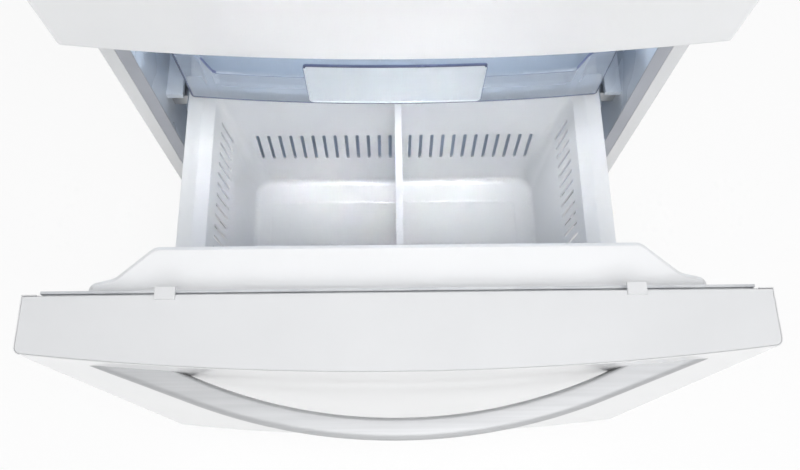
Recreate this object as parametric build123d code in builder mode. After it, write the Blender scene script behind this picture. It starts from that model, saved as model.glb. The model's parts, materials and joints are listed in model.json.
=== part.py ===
from build123d import *
import math
import os

# A free-standing refrigerator: a hinged door above a pull-out freezer drawer.
# X runs across the front, Y from front to back and Z up, in millimetres.
# The origin is on the floor, under the middle of the whole object with its
# freezer drawer drawn out, and every piece is modelled at that place.

# ---- driving dimensions ----

# doors
DOOR_WIDTH = 838.0
DOOR_EDGE = 66.0  # thickness of a door at its side edges
DOOR_CROWN = 24.6  # how far the curved front stands out in the middle
DOOR_CORNER = 9.0
DOOR_FRONT = -171.0  # front plane of a shut door, at its side edges
DOOR_BOTTOM, DOOR_TOP = 748.0, 1712.0
DRAWER_BOTTOM, DRAWER_TOP = 40.0, 734.0
DRAWER_TRAVEL = 380.0
SKIN = 1.0  # steel sheet
SKIN_RETURN = 16.0  # the sheet turns in this far behind the door
CAP = 14.0  # height of a door's plastic end cap
SHEET = 1.6  # moulded liner sheet
FIT = 0.3  # gap between pieces that lie against each other
GASKET_GAP = 8.0
GASKET_HALF = 407.0
GASKET_THICK = 7.6

# case
CASE_HALF = 418.0
CASE_BACK = 643.0
CASE_TOP = 1716.0
CASE_BOTTOM = 30.0
FOAM_BOTTOM = 42.0
FLANGE = 21.0  # visible width of the steel flange round the front
LINER_HALF = 376.0  # inner half-width of both compartments
FREEZER_FLOOR, FREEZER_ROOF = 106.0, 690.0
FRIDGE_FLOOR, FRIDGE_ROOF = 800.0, 1662.0
FRIDGE_BACK = 574.0
MACHINE_FRONT, MACHINE_TOP = 389.0, 300.0  # the compressor's room

# drawer basket, at the drawn-out place
BASKET_RIM_Z = 439.0
BASKET_WALL_Z = 428.0
BASKET_FLOOR_Z = 136.0
BASKET_SHEET = 3.0

# telescopic slides
SLIDE_LENGTH = 440.0
SLIDE_BACK = 353.0  # back end of the fixed member

# tray above the basket
TRAY_HALF = 335.0
TRAY_BOTTOM, TRAY_TOP = 446.0, 574.0
TRAY_FRONT = -87.0  # in the middle; the ends stand back
TRAY_BOW = 16.0
TRAY_BACK = 369.0

# upper door's hinge pin
HINGE_X = 408.0
HINGE_Y = DOOR_FRONT + 30.0
HINGE_PIN = 5.0

# ---- places that follow from them ----

CASE_FRONT = DOOR_FRONT + DOOR_EDGE + GASKET_GAP
DOOR_BACK = DOOR_FRONT + DOOR_EDGE
DRAWER_FRONT = DOOR_FRONT - DRAWER_TRAVEL
DRAWER_BACK = DRAWER_FRONT + DOOR_EDGE
LINER_FACE = CASE_FRONT + 2.0  # the liner's flange lies just behind the steel one

os.makedirs("parts", exist_ok=True)


def write_piece(piece, name):
    """Name a finished piece and write it to its own file."""
    piece.part.label = name
    export_step(piece.part, f"parts/{name}.step")


def block(x_span, y_span, z_span, mode=Mode.ADD):
    """A rectangular block between two X, two Y and two Z values."""
    middle = [(span[0] + span[1]) / 2 for span in (x_span, y_span, z_span)]
    with Locations(tuple(middle)):
        Box(
            x_span[1] - x_span[0],
            y_span[1] - y_span[0],
            z_span[1] - z_span[0],
            mode=mode,
        )


def upright(y):
    """An upright plane at depth y seen from behind: its own x runs along -X, its y along Z."""
    return Plane(origin=(0, y, 0), x_dir=(-1, 0, 0), z_dir=(0, 1, 0))


# ---- the parts that both doors share ----


def door_outline(front, inset=0.0, back_gap=0.0):
    """A door seen from above: straight back and sides, crowned front, rounded corners."""
    half = DOOR_WIDTH / 2 - inset
    face = front + inset
    back = front + DOOR_EDGE - back_gap
    with BuildSketch() as outline:
        with BuildLine():
            Polyline((half, face), (half, back), (-half, back), (-half, face))
            ThreePointArc((-half, face), (0, face - DOOR_CROWN), (half, face))
        make_face()
        fillet(outline.vertices().group_by(Axis.Y)[0], DOOR_CORNER - inset)
    return outline.sketch


def door_skin(front, bottom, top):
    """Steel wrap over the front and sides, turned in behind the door."""
    outer = door_outline(front)
    inner = door_outline(front, SKIN, SKIN)
    with BuildPart() as skin:
        with BuildSketch(Plane.XY.offset(bottom)):
            add(outer)
            add(inner, mode=Mode.SUBTRACT)
            with Locations((0, front + DOOR_EDGE)):
                Rectangle(DOOR_WIDTH - 2 * SKIN_RETURN, 4 * SKIN, mode=Mode.SUBTRACT)
        extrude(amount=top - bottom)
    return skin


def door_foam(front, bottom, top):
    """Foam that fills a door between its end caps."""
    filled = door_outline(front, SKIN + FIT, SHEET + FIT)
    with BuildPart() as foam:
        with BuildSketch(Plane.XY.offset(bottom + CAP)):
            add(filled)
        extrude(amount=top - bottom - 2 * CAP)
    return foam


def end_caps(front, bottom, top, pin_holes=False):
    """Moulded caps that close a door's bottom and top, with bores for the hinge pins."""
    capped = door_outline(front, SKIN + FIT, SHEET + FIT)
    with BuildPart() as caps:
        for start in (bottom + FIT, top - CAP + FIT):
            with BuildSketch(Plane.XY.offset(start)):
                add(capped)
            extrude(amount=CAP - 2 * FIT)
        if pin_holes:
            with Locations((HINGE_X, HINGE_Y, (bottom + top) / 2)):
                Cylinder(HINGE_PIN + 0.08, top - bottom, mode=Mode.SUBTRACT)
    return caps


def gasket(back, bottom, top):
    """Door seal: one ribbed profile swept round the door's back, mitred at the corners."""
    margin = DOOR_WIDTH / 2 - GASKET_HALF
    low, high = bottom + margin, top - margin
    with BuildPart() as seal:
        with BuildLine() as path:
            Polyline(
                (GASKET_HALF, back, low),
                (GASKET_HALF, back, high),
                (-GASKET_HALF, back, high),
                (-GASKET_HALF, back, low),
                close=True,
            )
        with BuildSketch(Plane(origin=(GASKET_HALF, back, low), z_dir=(0, 0, 1))):
            with BuildLine():
                # foot on the door, folded neck, and the head that holds the magnet
                Polyline(
                    (0, 0),
                    (0, 2),
                    (-7, 2),
                    (-7, 4.4),
                    (-2, 4.4),
                    (-2, GASKET_THICK),
                    (-21, GASKET_THICK),
                    (-21, 4.4),
                    (-17, 4.4),
                    (-17, 2),
                    (-24, 2),
                    (-24, 0),
                    close=True,
                )
            make_face()
        sweep(path=path.wires()[0], transition=Transition.RIGHT)
    return seal


def bow_handle(plane, crest, door):
    """Bow-shaped bar with bevelled edges, whose two ends run out into the door's front."""
    bar_depth, half_height, end_wall = 24.0, 14.0, 14.0
    outer_radius, outer_half, run_out = 660.0, 230.0, 125.0
    inner_radius, inner_half, tuck = 600.0, 238.0, 30.0
    front_bevel, back_bevel = 8.0, 4.0
    outer_turn = math.asin(outer_half / outer_radius)
    inner_turn = math.asin(inner_half / inner_radius)
    outer_end = crest + outer_radius * (1 - math.cos(outer_turn))
    inner_crest = crest + bar_depth
    inner_end = inner_crest + inner_radius * (1 - math.cos(inner_turn))
    tip_x = outer_half + run_out * math.cos(outer_turn)
    tip_y = outer_end + run_out * math.sin(outer_turn)
    notch_x = inner_half + tuck * math.cos(inner_turn)
    notch_y = inner_end + tuck * math.sin(inner_turn)
    with BuildPart() as handle:
        with BuildSketch(plane):
            with BuildLine():
                ThreePointArc((-outer_half, outer_end), (0, crest), (outer_half, outer_end))
                ThreePointArc((-inner_half, inner_end), (0, inner_crest), (inner_half, inner_end))
                for side in (-1, 1):
                    Polyline(
                        (side * outer_half, outer_end),
                        (side * tip_x, tip_y),
                        (side * tip_x, tip_y + end_wall),
                        (side * notch_x, tip_y + end_wall),
                        (side * notch_x, notch_y),
                        (side * inner_half, inner_end),
                    )
            make_face()
        extrude(amount=half_height, both=True)
        long_edges = handle.edges().filter_by(lambda edge: edge.length > 100)
        arcs = long_edges.filter_by(GeomType.CIRCLE)
        inner_arcs = arcs.filter_by(lambda edge: abs(edge.radius - inner_radius) < 1)
        chamfer(long_edges - inner_arcs, front_bevel)
        chamfer(inner_arcs, back_bevel)
        add(door, mode=Mode.SUBTRACT)
    return handle


def whole_door(front, bottom, top):
    """The outer form of a door, which the handles are cut to."""
    outline = door_outline(front)
    with BuildPart() as body:
        with BuildSketch(Plane.XY.offset(bottom)):
            add(outline)
        extrude(amount=top - bottom)
    return body.part


# ---- freezer drawer ----

STOP_SPANS = ((-272.0, -249.0), (254.0, 276.0))
STOP_DEPTH, STOP_RISE = 14.4, 2.5
drawer_skin = door_skin(DRAWER_FRONT, DRAWER_BOTTOM, DRAWER_TOP)
drawer_foam = door_foam(DRAWER_FRONT, DRAWER_BOTTOM, DRAWER_TOP)
plain_caps = end_caps(DRAWER_FRONT, DRAWER_BOTTOM, DRAWER_TOP)
with BuildPart() as drawer_end_caps:
    add(plain_caps.part)
    # two low stops stand on the top cap's back edge
    for x_span in STOP_SPANS:
        block(
            x_span,
            (DRAWER_BACK - STOP_DEPTH / 2, DRAWER_BACK + STOP_DEPTH / 2),
            (DRAWER_TOP - 1, DRAWER_TOP + STOP_RISE),
        )
drawer_gasket = gasket(DRAWER_BACK, DRAWER_BOTTOM, DRAWER_TOP)

# the bow leans down as it comes forward
HANDLE_LEAN = math.radians(8.5)
HANDLE_Z = 694.0
drawer_handle = bow_handle(
    Plane(
        origin=(0, DRAWER_FRONT, HANDLE_Z),
        x_dir=(1, 0, 0),
        z_dir=(0, -math.sin(HANDLE_LEAN), math.cos(HANDLE_LEAN)),
    ),
    crest=-92.0,
    door=whole_door(DRAWER_FRONT, DRAWER_BOTTOM, DRAWER_TOP),
)

# the liner's deep upper ledge fills the top of the freezer's mouth, and its
# lower ledges frame a shallow field that leaves room for the tray and slides
LEDGE_BOTTOM, LEDGE_TOP = 622.0, 686.0
LEDGE_DEPTH, LEDGE_HALF = 73.0, 294.0
SHOULDER_X, SHOULDER_DEPTH = 338.0, 34.0
LEDGE_END_DEPTH = 27.0
LEDGE_BEVEL = 6.0
SIDE_LEDGE = (345.0, 367.0)
SIDE_LEDGE_DEPTH = 30.0
FOOT_LEDGE_DEPTH, FOOT_LEDGE_HEIGHT = 20.0, 22.0
FIELD_DEPTH = 8.0
LEDGE_FOOT = FREEZER_FLOOR + 6
LINER_PLATE_HALF, LINER_PLATE_MARGIN = 402.5, 6.0
with BuildPart() as drawer_liner:
    with BuildSketch(Plane.XY.offset(LEDGE_BOTTOM)):
        with BuildLine():
            right = FilletPolyline(
                (0, DRAWER_BACK + LEDGE_DEPTH),
                (LEDGE_HALF, DRAWER_BACK + LEDGE_DEPTH),
                (SHOULDER_X, DRAWER_BACK + SHOULDER_DEPTH),
                (SIDE_LEDGE[1], DRAWER_BACK + LEDGE_END_DEPTH),
                (SIDE_LEDGE[1], DRAWER_BACK),
                radius=(16.0, 22.0, 10.0),
            )
            mirror(right, about=Plane.YZ)
            Line((SIDE_LEDGE[1], DRAWER_BACK), (-SIDE_LEDGE[1], DRAWER_BACK))
        make_face()
    extrude(amount=LEDGE_TOP - LEDGE_BOTTOM)
    ledge_rims = drawer_liner.faces().sort_by(Axis.Z)[-1].edges()
    chamfer(ledge_rims.filter_by(lambda edge: edge.center().Y > DRAWER_BACK + 1), LEDGE_BEVEL)
    block(
        (-LINER_PLATE_HALF, LINER_PLATE_HALF),
        (DRAWER_BACK - SHEET, DRAWER_BACK),
        (DRAWER_BOTTOM + LINER_PLATE_MARGIN, DRAWER_TOP - LINER_PLATE_MARGIN),
    )
    for side in (-1, 1):
        near, far = sorted((side * SIDE_LEDGE[0], side * SIDE_LEDGE[1]))
        block((near, far), (DRAWER_BACK, DRAWER_BACK + SIDE_LEDGE_DEPTH), (LEDGE_FOOT, LEDGE_BOTTOM))
    block(
        (-SIDE_LEDGE[0], SIDE_LEDGE[0]),
        (DRAWER_BACK, DRAWER_BACK + FOOT_LEDGE_DEPTH),
        (LEDGE_FOOT, LEDGE_FOOT + FOOT_LEDGE_HEIGHT),
    )
    block(
        (-SIDE_LEDGE[0], SIDE_LEDGE[0]),
        (DRAWER_BACK, DRAWER_BACK + FIELD_DEPTH),
        (LEDGE_FOOT, LEDGE_BOTTOM),
    )


def drafted_block(low, low_z, high, high_z, corner):
    """Block with flat sloping sides and rounded upright edges.

    Each end is given as its half-width, front and back.
    """
    reach = 600.0
    with BuildPart() as solid:
        with BuildSketch(Plane.XZ):
            with BuildLine():
                Polyline(
                    (-low[0], low_z),
                    (low[0], low_z),
                    (high[0], high_z),
                    (-high[0], high_z),
                    close=True,
                )
            make_face()
        extrude(amount=reach, both=True)
        with BuildSketch(Plane.YZ):
            with BuildLine():
                Polyline(
                    (low[1], low_z),
                    (low[2], low_z),
                    (high[2], high_z),
                    (high[1], high_z),
                    close=True,
                )
            make_face()
        extrude(amount=reach, both=True, mode=Mode.INTERSECT)
        fillet(solid.edges().filter_by(lambda edge: abs(edge.tangent_at(0.5).Z) > 0.2), corner)
    return solid.part


def grown(outline, amount):
    """A half-width, front and back made larger on every side."""
    half, front, back = outline
    return (half + amount, front - amount, back + amount)


# half-width, front and back of the basket's wall at its foot and its mouth, of
# the band that the lip slopes out to, and of the band's outer edge
BASKET_FOOT = (277.0, -426.0, -85.0)
BASKET_MOUTH = (300.0, -446.0, -62.0)
BASKET_BAND = (316.0, -457.0, -50.0)
BASKET_EDGE = (340.0, -468.0, -38.0)
WALL_CORNER, LIP_CORNER, EDGE_CORNER = 24.0, 16.0, 20.0
LIP_SHEET = 2.0
BAND_BOTTOM = BASKET_RIM_Z - BASKET_SHEET
BASKET_INSIDE = BASKET_FLOOR_Z + BASKET_SHEET
SLOT = 6.0
SIDE_SLOTS, SIDE_SLOT_FIRST, SIDE_SLOT_PITCH, SIDE_SLOT_Z = 18, -90.0, 18.5, (318.0, 391.0)
BACK_SLOT_ROWS, BACK_SLOT_PITCH, BACK_SLOT_Z = ((-248.0, 13), (28.0, 12)), 20.0, (229.0, 311.0)
PANEL_SPAN, PANEL_DEPTH = ((-245.0, 240.0), (-388.0, -133.0)), 1.2
basket_body = drafted_block(BASKET_FOOT, BASKET_FLOOR_Z, BASKET_MOUTH, BASKET_WALL_Z, WALL_CORNER)
basket_lip = drafted_block(
    grown(BASKET_MOUTH, LIP_SHEET),
    BASKET_WALL_Z - LIP_SHEET,
    grown(BASKET_BAND, LIP_SHEET),
    BAND_BOTTOM + 1,
    LIP_CORNER + LIP_SHEET,
)
basket_space = drafted_block(
    grown(BASKET_FOOT, -BASKET_SHEET),
    BASKET_INSIDE,
    grown(BASKET_MOUTH, -BASKET_SHEET),
    BASKET_WALL_Z + 1,
    WALL_CORNER - BASKET_SHEET,
)
lip_space = drafted_block(BASKET_MOUTH, BASKET_WALL_Z, BASKET_BAND, BASKET_RIM_Z, LIP_CORNER)
with BuildPart() as freezer_basket:
    # drafted walls, and a lip that slopes out from a small step to a flat band
    add(basket_body)
    add(basket_lip)
    with BuildSketch(Plane.XY.offset(BAND_BOTTOM)):
        with Locations((0, (BASKET_EDGE[1] + BASKET_EDGE[2]) / 2)):
            RectangleRounded(2 * BASKET_EDGE[0], BASKET_EDGE[2] - BASKET_EDGE[1], EDGE_CORNER)
    extrude(amount=BASKET_SHEET)
    add(basket_space, mode=Mode.SUBTRACT)
    add(lip_space, mode=Mode.SUBTRACT)
    # shallow panel sunk in the floor
    block(*PANEL_SPAN, (BASKET_INSIDE - PANEL_DEPTH, BASKET_INSIDE), Mode.SUBTRACT)
    # air slots: tall ones along the sides and a long row in the back wall
    for index in range(SIDE_SLOTS):
        y = SIDE_SLOT_FIRST - SIDE_SLOT_PITCH * index
        block((-330, 330), (y - SLOT / 2, y + SLOT / 2), SIDE_SLOT_Z, Mode.SUBTRACT)
    for first, count in BACK_SLOT_ROWS:
        for index in range(count):
            x = first + BACK_SLOT_PITCH * index
            block((x - SLOT / 2, x + SLOT / 2), (-100, 0), BACK_SLOT_Z, Mode.SUBTRACT)

# a removable wall splits the basket in two and stands on its floor
DIVIDER_X, DIVIDER_SHEET = 5.0, 3.0
DIVIDER_GAP = BASKET_SHEET + 1.0
CAP_HALF, CAP_Z = 5.5, (424.0, 435.0)
with BuildPart() as basket_divider:
    with BuildSketch(Plane.YZ.offset(DIVIDER_X - DIVIDER_SHEET / 2)):
        with BuildLine():
            Polyline(
                (BASKET_FOOT[1] + DIVIDER_GAP, BASKET_INSIDE + FIT),
                (BASKET_FOOT[2] - DIVIDER_GAP, BASKET_INSIDE + FIT),
                (BASKET_MOUTH[2] - DIVIDER_GAP, BASKET_WALL_Z),
                (BASKET_MOUTH[1] + DIVIDER_GAP, BASKET_WALL_Z),
                close=True,
            )
        make_face()
    extrude(amount=DIVIDER_SHEET)
    block(
        (DIVIDER_X - CAP_HALF, DIVIDER_X + CAP_HALF),
        (BASKET_MOUTH[1] + DIVIDER_GAP, BASKET_MOUTH[2] - DIVIDER_GAP),
        CAP_Z,
    )

# ---- telescopic slides, a left and a right of each member ----


def channel_section(web, reach, z_span, sheet):
    """C-section of the right-hand member, open towards the middle."""
    low, high = z_span
    with BuildSketch(Plane.XZ) as section:
        with BuildLine():
            Polyline(
                (web, low),
                (web, high),
                (web - reach, high),
                (web - reach, high - sheet),
                (web - sheet, high - sheet),
                (web - sheet, low + sheet),
                (web - reach, low + sheet),
                (web - reach, low),
                close=True,
            )
        make_face()
    return section.sketch_local


SLIDE_FRONT = SLIDE_BACK - SLIDE_LENGTH
OUTER_WEB, MIDDLE_WEB, INNER_WEB = 343.5, 336.0, 330.0
INNER_TOP = 422.0
BRACKET_PLACES = (-40.0, 130.0, 320.0)
outer_section = channel_section(OUTER_WEB, 17.0, (380, 432), 2.0)
middle_section = channel_section(MIDDLE_WEB, 13.0, (385, 427), 2.0)
inner_section = channel_section(INNER_WEB, 14.0, (390, INNER_TOP), 2.5)

with BuildPart() as slide_outer:
    with BuildSketch(Plane.XZ.offset(-SLIDE_FRONT)):
        add(outer_section)
    extrude(amount=-SLIDE_LENGTH)
    # brackets stand off the compartment's wall
    for y in BRACKET_PLACES:
        block((OUTER_WEB, LINER_HALF - FIT), (y - 14, y + 14), (392, 420))
    mirror(about=Plane.YZ)

MIDDLE_FRONT = SLIDE_FRONT - DRAWER_TRAVEL / 2
with BuildPart() as slide_middle:
    with BuildSketch(Plane.XZ.offset(-MIDDLE_FRONT)):
        add(middle_section)
    extrude(amount=-SLIDE_LENGTH)
    mirror(about=Plane.YZ)

PLATE_FRONT = DRAWER_BACK + FIELD_DEPTH
INNER_FRONT = PLATE_FRONT + 3
INNER_BACK = SLIDE_BACK - DRAWER_TRAVEL
PLATE_X, PLATE_BOTTOM = (306.0, 343.0), 376.0
RISER_X, RISER_SHEET, RISER_FLANGE = 320.5, 2.5, 8.0
RISER_TOP = BAND_BOTTOM - FIT
with BuildPart() as slide_inner:
    with BuildSketch(Plane.XZ.offset(-INNER_FRONT)):
        add(inner_section)
    extrude(amount=INNER_FRONT - INNER_BACK)
    # a riser with a narrow top flange carries the basket's band
    block((RISER_X, RISER_X + RISER_SHEET), (INNER_FRONT, INNER_BACK), (INNER_TOP - 2, RISER_TOP))
    block(
        (RISER_X, RISER_X + RISER_FLANGE),
        (INNER_FRONT, INNER_BACK),
        (RISER_TOP - 2, RISER_TOP),
    )
    # plate screwed to the drawer's liner
    block(PLATE_X, (PLATE_FRONT, INNER_FRONT), (PLATE_BOTTOM, RISER_TOP))
    mirror(about=Plane.YZ)

# ---- tray above the basket ----

TRAY_WALL = 2.5
TRAY_CORNER = 8.0
TRAY_FLOOR = 470.0
TRAY_BACK_TOP = 540.0
PANEL_HALF, PANEL_Z, PANEL_BORDER = 139.0, (454.0, 564.0), 6.0
SCOOP_Z, SCOOP_FOOT, SCOOP_HEAD = 527.0, 280.0, 291.0
RUNNER_OUT, RUNNER_FRONT = 361.0, -60.0


def tray_plan(inset):
    """The tray seen from above: bowed front, straight sides and rounded corners."""
    half, back = TRAY_HALF - inset, TRAY_BACK - inset
    end_y, middle_y = TRAY_FRONT + TRAY_BOW + inset, TRAY_FRONT + inset
    with BuildSketch() as plan:
        with BuildLine():
            ThreePointArc((-half, end_y), (0, middle_y), (half, end_y))
            Polyline((half, end_y), (half, back), (-half, back), (-half, end_y))
        make_face()
        fillet(plan.vertices(), TRAY_CORNER)
    return plan.sketch


with BuildPart() as freezer_tray:
    outer_plan, inner_plan = tray_plan(0.0), tray_plan(TRAY_WALL)
    with BuildSketch(Plane.XY.offset(TRAY_BOTTOM)):
        add(outer_plan)
        add(inner_plan, mode=Mode.SUBTRACT)
    extrude(amount=TRAY_TOP - TRAY_BOTTOM)
    # the front wall is scooped out on both sides of the handle panel
    with BuildSketch(Plane.XZ.offset(120)):
        for side in (-1, 1):
            with BuildLine():
                Polyline(
                    (side * PANEL_HALF, SCOOP_Z),
                    (side * SCOOP_FOOT, SCOOP_Z),
                    (side * SCOOP_HEAD, TRAY_TOP + 1),
                    (side * PANEL_HALF, TRAY_TOP + 1),
                    close=True,
                )
            make_face()
    extrude(amount=-120, mode=Mode.SUBTRACT)
    block((-PANEL_HALF, PANEL_HALF), (-120, 0), (PANEL_Z[1], TRAY_TOP + 1), Mode.SUBTRACT)
    # the sides' back ends and the back wall are lower, under the fan's slots
    block(
        (-TRAY_HALF, TRAY_HALF),
        (TRAY_BACK - 80, TRAY_BACK),
        (TRAY_BACK_TOP, TRAY_TOP + 1),
        Mode.SUBTRACT,
    )
    with BuildSketch(Plane.XY.offset(TRAY_FLOOR)):
        add(inner_plan)
    extrude(amount=TRAY_WALL + 0.5)
    # runners that ride on the liner's ledges
    runner_y = (RUNNER_FRONT, TRAY_BACK - TRAY_CORNER)
    for side in (-1, 1):
        near, far = sorted((side * (TRAY_HALF - 1), side * RUNNER_OUT))
        block((near, far), runner_y, (TRAY_BOTTOM - 1.4, TRAY_BOTTOM + 1.6))
    # handle panel with a raised border and a hooked top edge
    block((-PANEL_HALF, PANEL_HALF), (TRAY_FRONT - 3, TRAY_FRONT + 4), PANEL_Z)
    block((-PANEL_HALF, PANEL_HALF), (TRAY_FRONT, TRAY_FRONT + 22), (PANEL_Z[1] - 4, PANEL_Z[1]))
    block(
        (PANEL_BORDER - PANEL_HALF, PANEL_HALF - PANEL_BORDER),
        (TRAY_FRONT - 3, TRAY_FRONT - 1),
        (PANEL_Z[0] + PANEL_BORDER, PANEL_Z[1] - PANEL_BORDER - 2),
        Mode.SUBTRACT,
    )

# ---- upper door ----

door_skin_piece = door_skin(DOOR_FRONT, DOOR_BOTTOM, DOOR_TOP)
door_foam_piece = door_foam(DOOR_FRONT, DOOR_BOTTOM, DOOR_TOP)
door_end_caps = end_caps(DOOR_FRONT, DOOR_BOTTOM, DOOR_TOP, pin_holes=True)
door_gasket = gasket(DOOR_BACK, DOOR_BOTTOM, DOOR_TOP)

DOOR_HANDLE_X, DOOR_HANDLE_Z = -360.0, 1255.0
door_handle = bow_handle(
    Plane(
        origin=(DOOR_HANDLE_X, DOOR_FRONT, DOOR_HANDLE_Z),
        x_dir=(0, 0, 1),
        z_dir=(-1, 0, 0),
    ),
    crest=-73.0,
    door=whole_door(DOOR_FRONT, DOOR_BOTTOM, DOOR_TOP),
)

DIKE = (345.0, 367.0)
DIKE_DEPTH = 46.0
DIKE_LOW, DIKE_HIGH = 806.0, 1656.0
DIKE_CORNER, DIKE_BEVEL = 20.0, 5.0
with BuildPart() as door_liner:
    block(
        (-LINER_PLATE_HALF, LINER_PLATE_HALF),
        (DOOR_BACK - SHEET, DOOR_BACK),
        (DOOR_BOTTOM + LINER_PLATE_MARGIN, DOOR_TOP - LINER_PLATE_MARGIN),
    )
    # a bevelled dike runs round the compartment's mouth
    with BuildSketch(upright(DOOR_BACK)):
        dike_wall = DIKE[1] - DIKE[0]
        with Locations((0, (DIKE_LOW + DIKE_HIGH) / 2)):
            RectangleRounded(2 * DIKE[1], DIKE_HIGH - DIKE_LOW, DIKE_CORNER)
            Rectangle(2 * DIKE[0], DIKE_HIGH - DIKE_LOW - 2 * dike_wall, mode=Mode.SUBTRACT)
    extrude(amount=DIKE_DEPTH)
    rims = door_liner.faces().sort_by(Axis.Y)[-1].edges()
    chamfer(rims, DIKE_BEVEL)


def door_bin(low, height, depth):
    """Open-topped bin that hangs between the door liner's two side dikes."""
    half = DIKE[0] - FIT
    back = DOOR_BACK + FIT
    corner, wall, rail_depth, rail_height = 22.0, 2.5, 5.0, 12.0
    with BuildPart() as tub:
        block((-half, half), (back, back + depth), (low, low + height))
        corners = tub.edges().filter_by(Axis.Z).group_by(Axis.Y)[-1]
        fillet(corners, corner)
        offset(
            amount=-wall,
            openings=tub.faces().sort_by(Axis.Z)[-1],
            kind=Kind.INTERSECTION,
        )
        # stiff rail along the top of the inner wall
        block(
            (corner - half, half - corner),
            (back + depth - rail_depth, back + depth),
            (low + height - rail_height, low + height),
        )
    return tub


door_bin_low = door_bin(low=848.0, height=118.0, depth=104.0)
door_bin_middle = door_bin(low=1130.0, height=100.0, depth=100.0)
door_bin_high = door_bin(low=1400.0, height=90.0, depth=88.0)

# ---- case panels ----


def side_panel(side):
    """Steel side of the case with its front edge folded in twice."""
    edge = CASE_HALF
    with BuildPart() as panel:
        with BuildSketch(Plane.XY.offset(CASE_BOTTOM)):
            with BuildLine():
                Polyline(
                    (side * edge, CASE_FRONT),
                    (side * edge, CASE_BACK - 3),
                    (side * (edge - SKIN), CASE_BACK - 3),
                    (side * (edge - SKIN), CASE_FRONT + SKIN),
                    (side * (edge - FLANGE + SKIN), CASE_FRONT + SKIN),
                    (side * (edge - FLANGE + SKIN), CASE_FRONT + 8),
                    (side * (edge - FLANGE), CASE_FRONT + 8),
                    (side * (edge - FLANGE), CASE_FRONT),
                    close=True,
                )
            make_face()
        extrude(amount=CASE_TOP - CASE_BOTTOM)
    return panel


side_panel_left = side_panel(-1)
side_panel_right = side_panel(1)
ROOF_HALF = CASE_HALF - FLANGE - FIT
with BuildPart() as top_panel:
    with BuildSketch(Plane.YZ.offset(-ROOF_HALF)):
        with BuildLine():
            Polyline(
                (CASE_FRONT, CASE_TOP),
                (CASE_BACK - 3, CASE_TOP),
                (CASE_BACK - 3, CASE_TOP - SKIN),
                (CASE_FRONT + SKIN, CASE_TOP - SKIN),
                (CASE_FRONT + SKIN, CASE_TOP - FLANGE + SKIN),
                (CASE_FRONT + 8, CASE_TOP - FLANGE + SKIN),
                (CASE_FRONT + 8, CASE_TOP - FLANGE),
                (CASE_FRONT, CASE_TOP - FLANGE),
                close=True,
            )
        make_face()
    extrude(amount=2 * ROOF_HALF)
    # the roof sheet alone carries on to the side panels
    roof_edge = CASE_HALF - SKIN - FIT
    block(
        (-roof_edge, roof_edge),
        (CASE_FRONT + 8 + FIT, CASE_BACK - 3),
        (CASE_TOP - SKIN, CASE_TOP),
    )
    # and forward over the hollow of each side panel's fold
    for side in (-1, 1):
        near, far = sorted((side * (CASE_HALF - FLANGE + SKIN + FIT), side * roof_edge))
        block((near, far), (CASE_FRONT + SKIN + FIT, CASE_FRONT + 9), (CASE_TOP - SKIN, CASE_TOP))

BACK_SHEET_Y = CASE_BACK - 2.6
BACK_HALF = CASE_HALF - FIT
with BuildPart() as back_panel:
    block(
        (-BACK_HALF, BACK_HALF),
        (BACK_SHEET_Y, BACK_SHEET_Y + SKIN),
        (MACHINE_TOP + 2, CASE_TOP),
    )
    # upright swages stiffen the sheet
    for x in (-300, -100, 100, 300):
        block((x - 16, x + 16), (BACK_SHEET_Y, CASE_BACK), (360, 1660))

COVER_HALF = 408.0
VENT_BANKS, VENT_COUNT, VENT_PITCH = (-230.0, 200.0), 7, 26.0
VENT_WIDTH, VENT_Z = 9.0, (90.0, 230.0)
GLAND_X, GLAND_Z = 330.0, 80.0
GLAND_RADIUS, GLAND_BORE, GLAND_FLANGE = 10.0, 4.0, 14.0
GLAND_START, GLAND_LENGTH, GLAND_FLANGE_DEPTH = BACK_SHEET_Y - 6, 8.5, 5.5
with BuildPart() as machine_cover:
    block((-COVER_HALF, COVER_HALF), (BACK_SHEET_Y, BACK_SHEET_Y + SKIN), (36, MACHINE_TOP + 1))
    block((-COVER_HALF, COVER_HALF), (BACK_SHEET_Y - 8, BACK_SHEET_Y), (MACHINE_TOP - 3, MACHINE_TOP - 1))
    # two banks of vent slots
    for bank in VENT_BANKS:
        for index in range(VENT_COUNT):
            x = bank + VENT_PITCH * (index - (VENT_COUNT - 1) / 2)
            block(
                (x - VENT_WIDTH / 2, x + VENT_WIDTH / 2),
                (BACK_SHEET_Y - 20, CASE_BACK),
                VENT_Z,
                Mode.SUBTRACT,
            )
    # hexagonal hole that keeps the bush from turning
    with BuildSketch(upright(BACK_SHEET_Y - 20)):
        with Locations((-GLAND_X, GLAND_Z)):
            RegularPolygon(GLAND_RADIUS + FIT, 6)
    extrude(amount=30, mode=Mode.SUBTRACT)

# bush that the supply leaves through, with a flange behind the sheet
with BuildPart() as cord_gland:
    for radius, length in ((GLAND_RADIUS, GLAND_LENGTH), (GLAND_FLANGE, GLAND_FLANGE_DEPTH)):
        with BuildSketch(upright(GLAND_START)):
            with Locations((-GLAND_X, GLAND_Z)):
                RegularPolygon(radius, 6)
        extrude(amount=length)
    with BuildSketch(upright(GLAND_START)):
        with Locations((-GLAND_X, GLAND_Z)):
            Circle(GLAND_BORE)
    extrude(amount=GLAND_LENGTH, mode=Mode.SUBTRACT)


# the freezer's back wall steps back over the compressor's room
STEP_Y, STEP_Z = 334.0, 330.0
SHELF_Y, SHELF_Z = 450.0, 402.0
FREEZER_BACK = 530.0
WELL_FRONT = -200.0  # cutters reach this far out of the case's mouth


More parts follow.
